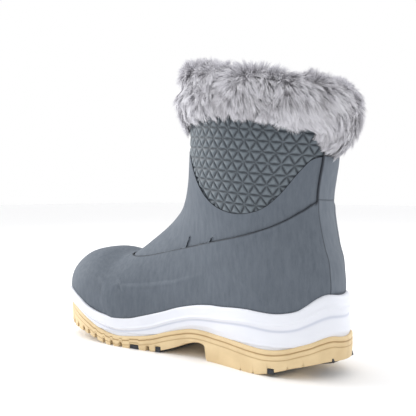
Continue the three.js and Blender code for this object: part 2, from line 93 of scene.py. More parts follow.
# Sections of the form: start on the sole or up the back, ridge x and z, inner and outer half, side power.
FOOT = (
    (1, 280.5, 40, 0.1, 0.1, 1), (0.975, 279.5, 50, 18, 16.5, 0.85), (0.95, 276.5, 61, 27, 24.5, 0.85),
    (0.91, 268.5, 70.8, 35.5, 31.5, 0.82), (0.85, 254, 78.5, 42.5, 38.5, 0.8),
    (0.78, 234, 81, 46.5, 45, 0.82),
    (0.69, 212, 77.5, 46.5, 49.5, 0.85), (0.58, 196.5, 85.5, 41.5, 46, 0.9),
    (0.44, 184, 95.6, 36.5, 40.5, 0.95),
    (0.28, 172.2, 104.4, 36.5, 38.5, 1), (0.14, 163.4, 111.8, 38, 38.5, 1), (0.05, 157.8, 116.8, 39, 39, 1),
    (0.012, 154.9, 119.8, 40, 40, 1),
)
SHAFT = (
    (0, 152.8, 122.4, 40.5, 40.5, 1), (0.08, 150.6, 125.9, 41, 41, 1), (0.2, 147.6, 132, 42, 42, 1),
    (0.33, 144.6, 140.2, 44, 44, 1), (0.47, 141.6, 150.6, 46.5, 46.5, 1), (0.62, 139, 165, 49.5, 49.5, 1),
    (0.8, 137.8, 189, 52.3, 52.3, 1), (1, 137.5, COLLAR_FRONT, 53, 53, 1),
)
SEAM = (
    (-20, 127), (19, 125.2), (25, 119), (34, 112.1), (45, 106.5), (65, 100.7), (96, 94.3), (132, 87),
    (171, 78.8), (187, 76.8), (196, 77), (203, 79.5), (211, 90), (222, 112), (320, 112),
)
WINDOW = (
    (-20, 158.4), (14, 158.4), (18.5, 156), (22.5, 150.6), (27.5, 143.5), (31.5, 137.6), (37, 130.5),
    (45, 122.8), (54, 118.6), (66, 117.2), (77, 118.6), (88.5, 122.7), (99, 130), (107.5, 140),
    (114, 150), (121, 160.5), (128, 166), (140, 168.5), (180, 170),
)
STAY_HALF_WIDTH = 10.8
STAY_SPLIT = 127.0
STAY_TOP = 158.4
GAP = 0.3


def through(knots: tuple | Array, at: Array | float) -> Array:
    """A smooth curve through knots: in each span a cubic whose end slopes are those of its neighbours' chord.

    Args:
        knots: pairs of place and value, in rising order of place.
        at: the places asked for; outside the knots the end value holds.
    Returns:
        The value at each place.
    """
    table = np.asarray(knots, float)
    place, value = table[:, 0], table[:, 1]
    slope = np.empty(len(place))
    slope[1:-1] = (value[2:] - value[:-2]) / (place[2:] - place[:-2])
    slope[0] = (value[1] - value[0]) / (place[1] - place[0])
    slope[-1] = (value[-1] - value[-2]) / (place[-1] - place[-2])
    x = np.clip(np.asarray(at, float), place[0], place[-1])
    i = np.clip(np.searchsorted(place, x, side="right") - 1, 0, len(place) - 2)
    width = place[i + 1] - place[i]
    u = (x - place[i]) / width
    rise = value[i + 1] - value[i]
    bow = (1 - u) * (slope[i] * width - rise) - u * (slope[i + 1] * width - rise)
    return value[i] + u * rise + u * (1 - u) * bow


def bend(x: Array) -> Array:
    """How far the centreline has swung to the inner side at x: a square law from just behind the middle."""
    return TOE_TURN * np.maximum((np.asarray(x) / SOLE_LENGTH - 0.55) / 0.45, 0) ** 2


def smoother(x: Array, low: Array | float, high: Array | float) -> Array:
    """0 below low, 1 above high, with a smooth cubic between."""
    t = np.clip((np.asarray(x, float) - low) / (high - low), 0, 1)
    return t * t * (3 - 2 * t)


def softly_larger(a: Array, b: Array, soft: float) -> Array:
    """The larger of a and b, rounded where they meet: half of their sum plus a softened half difference."""
    return (a + b + np.sqrt((a - b) ** 2 + soft**2)) / 2


@dataclass(frozen=True)
class BootForm:
    """The closed foot form that every upper layer is a depth of.

    A section runs from its start (on the sole's edge, or up the back) to its ridge point. At a share `along`
    of that line the form's half-width is the section's widest half times a power of its angle's sine.
    """

    origin: tuple[float, float, float]

    @property
    def top(self) -> int:
        """The number of the section at the collar."""
        return len(FOOT) + len(SHAFT) - 1

    def column(self, v: Array, index: int) -> Array:
        """One of the sections' values as a smooth curve over v."""
        rows = FOOT + SHAFT
        return through([(i, row[index]) for i, row in enumerate(rows)], v)

    def start(self, v: Array, side: Array, depth: Array) -> tuple[Array, Array, Array]:
        """Where a section starts.

        Args:
            v: section numbers.
            side: 1 for the inner side and -1 for the outer.
            depth: how far inside the outer face.
        Returns:
            The start's x, its z, and the sole's half-width there.
        """
        heel = len(FOOT)
        ledge = SOLE_LEDGE + depth
        on_sole = [(i, row[0]) for i, row in enumerate(FOOT)] + [(heel, 0)]
        on_back = [(heel + i, row[0]) for i, row in enumerate(SHAFT)]
        s = np.clip(through(on_sole, v), 0, 1)
        half = np.where(side > 0, through(INNER_HALF, s), through(OUTER_HALF, s))
        sole = 2 * np.sqrt(np.maximum(s * (1 - s), 0)) * (half - ledge)
        last = FOOT[-1][0]
        rear = 2 * np.sqrt(last * (1 - last)) * (INNER_HALF[0][1] - 1 - ledge) * (heel - v)
        sole = np.where(v > heel - 1, rear, sole)
        up = through(on_back, v)
        z_back = FEATHER[0][1] + depth + (COLLAR_BACK - FEATHER[0][1] - depth) * up
        back = through(SHAFT_BACK, z_back) + depth
        x_back = ledge + (back - ledge) * np.minimum(up / 0.08, 1)
        below = v < heel
        x = np.where(below, ledge + (SOLE_LENGTH - 2 * ledge) * s, x_back)
        z = np.where(below, through(FEATHER, s) + depth, z_back)
        return x, z, np.where(below, sole, 0.0)

    def ridge(self, v: Array, x: Array, z: Array, depth: Array) -> tuple[Array, Array]:
        """A section's ridge point, moved in by depth along the ridge curve's normal to the start's side."""
        step = 1e-3
        rx, rz = self.column(v, 1), self.column(v, 2)
        dx = self.column(v + step, 1) - self.column(v - step, 1)
        dz = self.column(v + step, 2) - self.column(v - step, 2)
        length = np.hypot(dx, dz) + 1e-12
        nx, nz = -dz / length, dx / length
        turn = np.where(nx * (x - rx) + nz * (z - rz) < 0, -1.0, 1.0)
        return rx + turn * nx * depth, rz + turn * nz * depth

    def opening(self, v: Array, side: Array, depth: Array) -> tuple[Array, Array]:
        """A section's widest half and the angle that its arc begins at, where it is as wide as the sole."""
        _, _, sole = self.start(v, side, depth)
        widest = np.where(side > 0, self.column(v, 3), self.column(v, 4))
        half = np.maximum(widest - depth, sole + 1e-3)
        return half, np.arcsin(np.clip((np.maximum(sole, 0) / half) ** (1 / self.column(v, 5)), 0, 1))

    def surface(self, v: Array, phi: Array, depth: Array | float = 0.0) -> Array:
        """Points of the form.

        Args:
            v: section numbers, 0 at the toe.
            phi: 0 at the section's start and 1 at its ridge, negative on the outer side.
            depth: how far inside the outer face.
        Returns:
            Points in mm, with one more axis than v.
        """
        v, phi, depth = np.broadcast_arrays(*(np.asarray(a, float) for a in (v, phi, depth)))
        side = np.where(phi >= 0, 1.0, -1.0)
        x0, z0, _ = self.start(v, side, depth)
        x1, z1 = self.ridge(v, x0, z0, depth)
        half, begin = self.opening(v, side, depth)
        power = self.column(v, 5)
        angle = begin + (np.pi - begin) * np.abs(phi)
        along = (np.cos(begin) - np.cos(angle)) / (1 + np.cos(begin))
        x = x0 + (x1 - x0) * along
        z = z0 + (z1 - z0) * along
        y = bend(x) + side * half * np.maximum(np.sin(angle), 0) ** power
        return np.stack([x, y, z], -1)

    def half_at(self, x: Array, z: Array, side: Array, depth: float) -> Array:
        """The form's half-width at places of its side view, from the section whose line passes there.

        Args:
            x: places along the boot.
            z: heights.
            side: 1 inner, -1 outer.
            depth: how far inside the outer face, negative for outside.
        Returns:
            The half-width from the bent centreline, 0 outside the form.
        """
        v = np.linspace(0, self.top, 500)
        result = np.zeros(x.shape)
        for sign in (1.0, -1.0):
            x0, z0, sole = self.start(v, np.full(v.shape, sign), np.full(v.shape, depth))
            x1, z1 = self.ridge(v, x0, z0, np.full(v.shape, depth))
            cross = (x1 - x0) * (z[..., None] - z0) - (z1 - z0) * (x[..., None] - x0)
            change = np.sign(cross[..., 1:]) != np.sign(cross[..., :-1])
            hit = np.argmax(change, -1)
            a = np.take_along_axis(cross, hit[..., None], -1)[..., 0]
            b = np.take_along_axis(cross, hit[..., None] + 1, -1)[..., 0]
            t = a / (a - b + 1e-12)

            def pick(line: Array) -> Array:
                """The line's value at the section found."""
                return line[hit] + (line[hit + 1] - line[hit]) * t

            xa, za, xb, zb = pick(x0), pick(z0), pick(x1), pick(z1)
            along = ((x - xa) * (xb - xa) + (z - za) * (zb - za)) / ((xb - xa) ** 2 + (zb - za) ** 2 + 1e-9)
            section = hit + t
            section = v[0] + section * (v[1] - v[0])
            widest = self.column(section, 3 if sign > 0 else 4)
            half = np.maximum(widest - depth, pick(sole) + 1e-3)
            power = self.column(section, 5)
            begin = np.arcsin(np.clip((pick(sole) / half) ** (1 / power), 0, 1))
            cosine = np.cos(begin) - np.clip(along, 0, 1) * (1 + np.cos(begin))
            found = half * np.maximum(np.sin(np.arccos(np.clip(cosine, -1, 1))), 0) ** power
            inside = change.any(-1) & (along > -0.02) & (along < 1)
            result = np.where((side * sign > 0) & inside, found, result)
        return result

    def crossing(self, phi: Array, line: tuple, depth: float = 0.0, low: float = 0.0) -> Array:
        """The section number at which each line of constant phi climbs through a height curve z(x)."""
        v = np.linspace(low, self.top, 1600)
        at = self.surface(v[None, :], phi[:, None], depth)
        above = at[..., 2] - through(line, at[..., 0])
        hit = np.maximum(np.argmax(above > 0, 1), 1)
        rows = np.arange(len(phi))
        a, b = above[rows, hit - 1], above[rows, hit]
        return v[hit - 1] + (v[1] - v[0]) * np.clip(-a / (b - a + 1e-12), 0, 1)

    def collar_height(self, x: Array) -> Array:
        """The height of the collar's plane at x."""
        back = through(SHAFT_BACK, COLLAR_BACK)
        front = SHAFT[-1][1]
        return COLLAR_BACK + (COLLAR_FRONT - COLLAR_BACK) * (x - back) / (front - back)

    def beside_collar(self, angle: Array, out: Array, up: Array) -> Array:
        """A point `out` mm off the shaft and `up` mm above the collar's plane, at an angle from the front."""
        v = self.top + np.minimum(up, 0) / 37
        back, _, _ = self.start(v, np.ones_like(v), np.zeros_like(v))
        front = self.column(v, 1)
        x = (front + back) / 2 + ((front - back) / 2 + out) * np.cos(angle)
        y = (self.column(v, 3) + out) * np.sin(angle)
        return np.stack([x, y, self.collar_height(x) + up], -1)

    def placed(self, points: Array) -> Array:
        """Points in mm put into the row frame, in metres."""
        return points * MM + np.asarray(self.origin)


@dataclass(frozen=True)
class SolePlan:
    """The sole's outline: a half-width that goes with the outline angle's sine, on a bent centreline."""

    def outline(self, angle: Array, inset: Array | float) -> tuple[Array, Array]:
        """Outline points at an inset: angle 0 at the toe, pi at the heel, positive on the inner side.

        Args:
            angle: outline angles.
            inset: how far inside the outsole's edge.
        Returns:
            The points' x and y.
        """
        s = (1 + np.cos(angle)) / 2
        half = np.where(np.sin(angle) >= 0, through(INNER_HALF, s), through(OUTER_HALF, s)) - inset
        x = inset + (SOLE_LENGTH - 2 * inset) * s
        return x, bend(SOLE_LENGTH * s) + np.sin(angle) * half


PLAN = SolePlan()


class Meshes:
    """Puts numpy grids into Blender meshes."""

    def __init__(self, form: BootForm) -> None:
        """Keeps the form, whose origin places every mesh."""
        self.form = form

    @staticmethod
    def grid(rows: int, columns: int, close_rows: bool = False, close_columns: bool = False) -> Array:
        """Quads of a grid of rows by columns vertices, joined at its ends where asked.

        Args:
            rows: number of rows.
            columns: number of columns.
            close_rows: joins the last row to the first.
            close_columns: joins the last column to the first.
        Returns:
            Vertex numbers, four for each face.
        """
        i = np.arange(rows if close_rows else rows - 1)[:, None]
        j = np.arange(columns if close_columns else columns - 1)[None, :]
        a = i * columns + j
        b = i * columns + (j + 1) % columns
        c = (i + 1) % rows * columns + (j + 1) % columns
        d = (i + 1) % rows * columns + j
        return np.stack([a, b, c, d], -1).reshape(-1, 4)

    def piece(
        self,
        name: str,
        points: Array,
        faces: list[Array],
        values: dict[str, Array] | None = None,
        uv: Array | None = None,
        merge: float = 0.0,
    ) -> bpy.types.Object:
        """A mesh object from points and faces.

        Args:
            name: the piece's name.
            points: vertices in mm.
            faces: arrays of vertex numbers, one array for each number of corners.
            values: named numbers on the vertices, for the material.
            uv: a place on the material's own map for each vertex.
            merge: joins vertices nearer than this, in mm.
        Returns:
            The object, linked to the scene and smooth shaded.
        """
        flat = self.form.placed(points.reshape(-1, 3))
        mesh = bpy.data.meshes.new(name)
        corners = np.concatenate([f.ravel() for f in faces])
        sizes = np.concatenate([np.full(len(f), f.shape[1]) for f in faces])
        mesh.vertices.add(len(flat))
        mesh.vertices.foreach_set("co", flat.astype(np.float32).ravel())
        mesh.loops.add(len(corners))
        mesh.loops.foreach_set("vertex_index", corners.astype(np.int32))
        mesh.polygons.add(len(sizes))
        mesh.polygons.foreach_set("loop_start", (np.cumsum(sizes) - sizes).astype(np.int32))
        mesh.update(calc_edges=True)
        for key, value in (values or {}).items():
            layer = mesh.attributes.new(key, "FLOAT", "POINT")
            layer.data.foreach_set("value", value.ravel().astype(np.float32))
        if uv is not None:
            layer = mesh.uv_layers.new(name="OFBake")
            layer.uv.foreach_set("vector", uv.reshape(-1, 2)[corners].astype(np.float32).ravel())
        mesh.shade_smooth()
        made = bpy.data.objects.new(name, mesh)
        bpy.context.scene.collection.objects.link(made)
        if merge > 0:
            weld = made.modifiers.new("weld", "WELD")
            weld.merge_threshold = merge * MM
        return made

    @staticmethod
    def thicken(piece: bpy.types.Object, thickness: float, outward: bool = False) -> None:
        """Gives a sheet a wall of that many mm, on its inner side unless outward."""
        wall = piece.modifiers.new("wall", "SOLIDIFY")
        wall.thickness = thickness * MM
        wall.offset = 1.0 if outward else -1.0


# ---- shader maths ----
class Wire:
    """A shader socket that sums, products and powers can be written with."""

    def __init__(self, tree: "Tree", socket: bpy.types.NodeSocket) -> None:
        """Keeps the socket and the tree that its new nodes go to."""
        self.tree = tree
        self.socket = socket

    def __add__(self, other: "Wire | float") -> "Wire":
        """The sum."""
        return self.tree.maths("ADD", self, other)

    def __sub__(self, other: "Wire | float") -> "Wire":
        """The difference."""
        return self.tree.maths("SUBTRACT", self, other)

    def __rsub__(self, other: float) -> "Wire":
        """A number less this."""
        return self.tree.maths("SUBTRACT", other, self)

    def __mul__(self, other: "Wire | float") -> "Wire":
        """The product."""
        return self.tree.maths("MULTIPLY", self, other)

    def __truediv__(self, other: "Wire | float") -> "Wire":
        """The quotient."""
        return self.tree.maths("DIVIDE", self, other)

    def __pow__(self, other: "Wire | float") -> "Wire":
        """The power."""
        return self.tree.maths("POWER", self, other)

    __radd__ = __add__
    __rmul__ = __mul__


class Tree:
    """One material's nodes."""

    def __init__(self, name: str) -> None:
        """Starts a material with a bare Principled surface."""
        self.material = bpy.data.materials.new(name)
        self.material.use_nodes = True
        self.nodes = self.material.node_tree.nodes
        self.links = self.material.node_tree.links
        self.shader = self.nodes["Principled BSDF"]

    def node(self, kind: str, settings: dict, inputs: dict) -> bpy.types.Node:
        """Any node.

        Args:
            kind: the node's type.
            settings: its own options, set first.
            inputs: values or wires by socket name or number.
        Returns:
            The node.
        """
        made = self.nodes.new(kind)
        for key, value in settings.items():
            setattr(made, key, value)
        for key, value in inputs.items():
            self.feed(made.inputs[key], value)
        return made

    def feed(self, socket: bpy.types.NodeSocket, value: "Wire | float | tuple") -> None:
        """Links a wire to a socket, or sets the socket to a value."""
        if isinstance(value, Wire):
            self.links.new(value.socket, socket)
        else:
            socket.default_value = value

    def maths(self, operation: str, a: "Wire | float", b: "Wire | float" = 0.0, clamp: bool = False) -> Wire:
        """A Math node on two numbers."""
        made = self.node("ShaderNodeMath", {"operation": operation, "use_clamp": clamp}, {0: a, 1: b})
        return Wire(self, made.outputs[0])

    def place(self, stretch: tuple[float, float, float] = (1, 1, 1)) -> Wire:
        """Object coordinates in metres, stretched."""
        source = self.node("ShaderNodeTexCoord", {}, {})
        inputs = {0: Wire(self, source.outputs["Object"]), "Scale": stretch}
        mapping = self.node("ShaderNodeMapping", {}, inputs)
        return Wire(self, mapping.outputs[0])

    def noise(self, at: Wire, size_mm: float, detail: float = 2.0, rough: float = 0.5) -> Wire:
        """Noise whose blobs are about that many mm across."""
        inputs = {"Vector": at, "Scale": 1 / (size_mm * MM), "Detail": detail, "Roughness": rough}
        return Wire(self, self.node("ShaderNodeTexNoise", {}, inputs).outputs[0])

    def cells(self, at: Wire, size_mm: float) -> Wire:
        """Distance to the nearest of scattered points about that many mm apart, 0 to about 1."""
        inputs = {"Vector": at, "Scale": 1 / (size_mm * MM)}
        return Wire(self, self.node("ShaderNodeTexVoronoi", {}, inputs).outputs["Distance"])

    def value(self, name: str) -> Wire:
        """A number stored on the mesh."""
        return Wire(self, self.node("ShaderNodeAttribute", {"attribute_name": name}, {}).outputs["Fac"])

    def band(self, x: Wire, low: float, high: float) -> Wire:
        """0 at low and 1 at high, held outside."""
        made = self.node("ShaderNodeMapRange", {}, {0: x, 1: low, 2: high})
        return Wire(self, made.outputs[0])

    def mix(self, amount: "Wire | float", a: "Wire | tuple", b: "Wire | tuple") -> Wire:
        """A colour between two."""
        made = self.node("ShaderNodeMix", {"data_type": "RGBA"}, {})
        for key, value in ((0, amount), (6, a), (7, b)):
            self.feed(made.inputs[key], value)
        return Wire(self, made.outputs[2])

    def bump(self, height: Wire, depth_mm: float, strength: float = 1.0) -> None:
        """Lets a height between 0 and 1 shade the surface as relief of that many mm."""
        inputs = {"Height": height, "Distance": depth_mm * MM, "Strength": strength}
        made = self.node("ShaderNodeBump", {}, inputs)
        self.links.new(made.outputs[0], self.shader.inputs["Normal"])

    def finish(self, colour: "Wire | tuple", rough: "Wire | float", **constants: float) -> bpy.types.Material:
        """Feeds the surface.

        Args:
            colour: its base colour.
            rough: its roughness.
            constants: values of its other sockets, with _ for a space.
        Returns:
            The material.
        """
        self.feed(self.shader.inputs["Base Color"], colour)
        self.feed(self.shader.inputs["Roughness"], rough)
        for key, value in constants.items():
            self.shader.inputs[key.replace("_", " ")].default_value = value
        return self.material


def srgb(red: float, green: float, blue: float) -> tuple[float, float, float, float]:
    """A colour given as 0 to 255, as linear light."""
    c = np.array([red, green, blue]) / 255
    linear = np.where(c <= 0.04045, c / 12.92, ((c + 0.055) / 1.055) ** 2.4)
    return (*(float(x) for x in linear), 1.0)


# ---- finishes ----
@dataclass(frozen=True)
class GumRubber:
    """Matt tan rubber with a faint cloudiness, and painted shade in its grooves and lug cuts."""

    colour: tuple = srgb(221, 198, 156)
    shade: tuple = srgb(203, 178, 137)

    def material(self) -> bpy.types.Material:
        """The outsole's material."""
        tree = Tree("gum_rubber")
        at = tree.place()
        cloud = tree.noise(at, 18, 3)
        grain = tree.noise(at, 0.9, 3, 0.6)
        groove = tree.value("groove")
        colour = tree.mix(tree.band(cloud, 0.3, 0.8), self.colour, self.shade)
        # painted shade: darker tan where the mesh's `groove` value marks grooves and cuts
        colour = tree.mix(groove * 0.75, colour, srgb(150, 116, 74))
        tree.bump(grain, 0.12, 0.5)
        return tree.finish(colour, 0.48 + cloud * 0.2, Specular_IOR_Level=0.35)


@dataclass(frozen=True)
class WhiteFoam:
    """Moulded white foam: satin, very slightly blue, with a fine skin."""

    colour: tuple = srgb(224, 226, 233)
    shade: tuple = srgb(204, 208, 219)

    def material(self) -> bpy.types.Material:
        """The midsole's material."""
        tree = Tree("foam_white")
        at = tree.place()
        cloud = tree.noise(at, 26, 2)
        skin = tree.noise(at, 0.5, 2)
        colour = tree.mix(tree.band(cloud, 0.35, 0.9) * 0.35, self.colour, self.shade)
        # painted shade: bluish grey along the crease where the mesh's `groove` value says
        colour = tree.mix(tree.value("groove") * 0.6, colour, srgb(172, 178, 197))
        tree.bump(skin, 0.05, 0.4)
        return tree.finish(colour, 0.42 + skin * 0.12, Specular_IOR_Level=0.4)


@dataclass(frozen=True)
class DarkRubber:
    """Dark gritty rubber of the grip bars."""

    colour: tuple = srgb(44, 46, 51)

    def material(self) -> bpy.types.Material:
        """The bars' material."""
        tree = Tree("grip_rubber")
        grit = tree.noise(tree.place(), 0.4, 3, 0.7)
        colour = tree.mix(tree.band(grit, 0.5, 0.75), self.colour, srgb(84, 86, 92))
        tree.bump(grit, 0.3)
        return tree.finish(colour, 0.8)


@dataclass(frozen=True)
class CoatedFabric:
    """Grey rubber-coated stretch fabric: matt, with a fine upright grain and a soft mottle."""

    name: str
    colour: tuple
    shade: tuple
    # the colour of the painted shade at edges and folds
    painted_shade: tuple = srgb(44, 47, 53)
    depth_mm: float = 0.16

    def material(self) -> bpy.types.Material:
        """The panel's material; the value `groove` mixes in painted shade at its edges and folds and along
        the midsole's top.
        """
        tree = Tree(self.name)
        at = tree.place()
        upright = tree.place((1, 1, 0.22))
        mottle = tree.noise(upright, 2.6, 3, 0.62)
        thread = tree.noise(upright, 0.55, 2, 0.6)
        cloud = tree.noise(at, 40, 2)
        pores = tree.cells(at, 0.8)
        colour = tree.mix(tree.band(mottle, 0.3, 0.72), self.colour, self.shade)
        colour = tree.mix(tree.band(thread, 0.35, 0.75) * 0.35, colour, srgb(104, 111, 120))
        colour = tree.mix(tree.band(cloud, 0.35, 0.75) * 0.25, colour, self.shade)
        # painted shade: the mesh's `groove` value blends towards the shade colour
        colour = tree.mix(tree.value("groove"), colour, self.painted_shade)
        tree.bump(thread * 0.6 + mottle * 0.5 + pores * 0.3, self.depth_mm, 0.55)
        return tree.finish(colour, 0.6 + mottle * 0.2, Specular_IOR_Level=0.2)


@dataclass(frozen=True)
class ReliefFabric:
    """The embossed shaft panel: slightly greener and smoother than the panels, with painted shade in its
    grooves.
    """

    colour: tuple = srgb(96, 105, 112)
    high: tuple = srgb(109, 118, 125)
    # the colour of the painted shade in the grooves
    groove: tuple = srgb(47, 53, 60)

    def material(self) -> bpy.types.Material:
        """The sleeve's material."""
        tree = Tree("relief_grey")
        at = tree.place()
        mottle = tree.noise(at, 1.6, 3, 0.6)
        skin = tree.noise(at, 0.35, 2)
        colour = tree.mix(tree.band(mottle, 0.3, 0.75), self.colour, self.high)
        # painted shade: the mesh's `groove` value blends towards the groove colour
        colour = tree.mix(tree.value("groove"), colour, self.groove)
        tree.bump(skin, 0.06, 0.5)
        return tree.finish(colour, 0.5 + mottle * 0.15, Specular_IOR_Level=0.4)


@dataclass(frozen=True)
class FurFibre:
    """Long soft pile; its own map holds each strand's tint and the place along it."""

    root: tuple = srgb(168, 166, 171)
    tip: tuple = srgb(222, 221, 226)

    def material(self) -> bpy.types.Material:
        """The strands' material."""
        tree = Tree("fur")
        source = tree.node("ShaderNodeUVMap", {"uv_map": "OFBake"}, {})
        split = tree.node("ShaderNodeSeparateXYZ", {}, {0: Wire(tree, source.outputs[0])})
        tint, along = Wire(tree, split.outputs[0]), Wire(tree, split.outputs[1])
        colour = tree.mix(tree.band(along, 0.0, 0.75), self.root, self.tip)
        colour = tree.mix(tree.band(tint, 0.45, 1.0) * 0.55, colour, srgb(240, 240, 244))
        colour = tree.mix(tree.band(tint, 0.4, 0.0) * 0.6, colour, srgb(134, 131, 136))
        return tree.finish(colour, 0.72 - along * 0.1, Specular_IOR_Level=0.3, Sheen_Weight=0.15)


@dataclass(frozen=True)
class CurlyFleece:
    """Short curly fleece of the lining and the footbed's cover."""

    name: str
    colour: tuple = srgb(196, 196, 200)
    shade: tuple = srgb(142, 142, 148)

    def material(self) -> bpy.types.Material:
        """The fleece's material."""
        tree = Tree(self.name)
        at = tree.place()
        curl = tree.cells(at, 2.2)
        fuzz = tree.noise(at, 0.5, 3, 0.7)
        # painted shade: darker in the hollows between curls, where the bump is lowest
        colour = tree.mix(tree.band(curl, 0.1, 0.75), self.colour, self.shade)
        colour = tree.mix(tree.band(fuzz, 0.45, 0.8) * 0.4, colour, srgb(226, 226, 230))
        tree.bump(fuzz * 0.6 - curl, 0.9)
        return tree.finish(colour, 0.95, Sheen_Weight=0.3)


@dataclass(frozen=True)
class PlainStock:
    """A hidden sheet or plate: one colour with a grain of its own."""

    name: str
    colour: tuple
    grain_mm: float = 1.2
    metallic: float = 0.0
    rough: float = 0.85

    def material(self) -> bpy.types.Material:
        """The stock's material."""
        tree = Tree(self.name)
        at = tree.place()
        grain = tree.noise(at, self.grain_mm, 3, 0.6)
        dull = tuple(0.7 * c for c in self.colour[:3]) + (1.0,)
        colour = tree.mix(tree.band(grain, 0.35, 0.7), self.colour, dull)
        tree.bump(grain, 0.1, 0.5)
        return tree.finish(colour, self.rough - grain * 0.2, Metallic=self.metallic)


class Body(Enum):
    """The moving bodies of the frame."""

    BOOT = "boot"
    FOOTBED = "footbed"


def dress(
    made: bpy.types.Object, material: bpy.types.Material, body: Body, nodes: tuple[str, ...] = ()
) -> None:
    """Gives a piece its finish and its body, and hides the CAD nodes that it stands for."""
    made.data.materials.clear()
    made.data.materials.append(material)
    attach(made, body.value)
    if nodes:
        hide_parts(*nodes)


def bell(x: Array, centre: Array | float, width: float) -> Array:
    """A bump of height 1 about a centre, falling off as a normal curve."""
    return np.exp(-(((x - centre) / width) ** 2))


@dataclass
class Ripple:
    """Smooth seeded noise in space: sine waves with scattered directions and lengths near one size."""

    size_mm: float
    seed: int
    waves: int = 10

    def at(self, points: Array) -> Array:
        """The noise at points in mm, mostly between -1 and 1."""
        rng = np.random.default_rng(self.seed)
        way = rng.normal(size=(3, self.waves))
        way *= 2 * np.pi / (self.size_mm * rng.uniform(0.8, 1.9, self.waves)) / np.linalg.norm(way, axis=0)
        phase = rng.uniform(0, 2 * np.pi, self.waves)
        return np.sin(points @ way + phase).sum(-1) / np.sqrt(self.waves / 1.2)


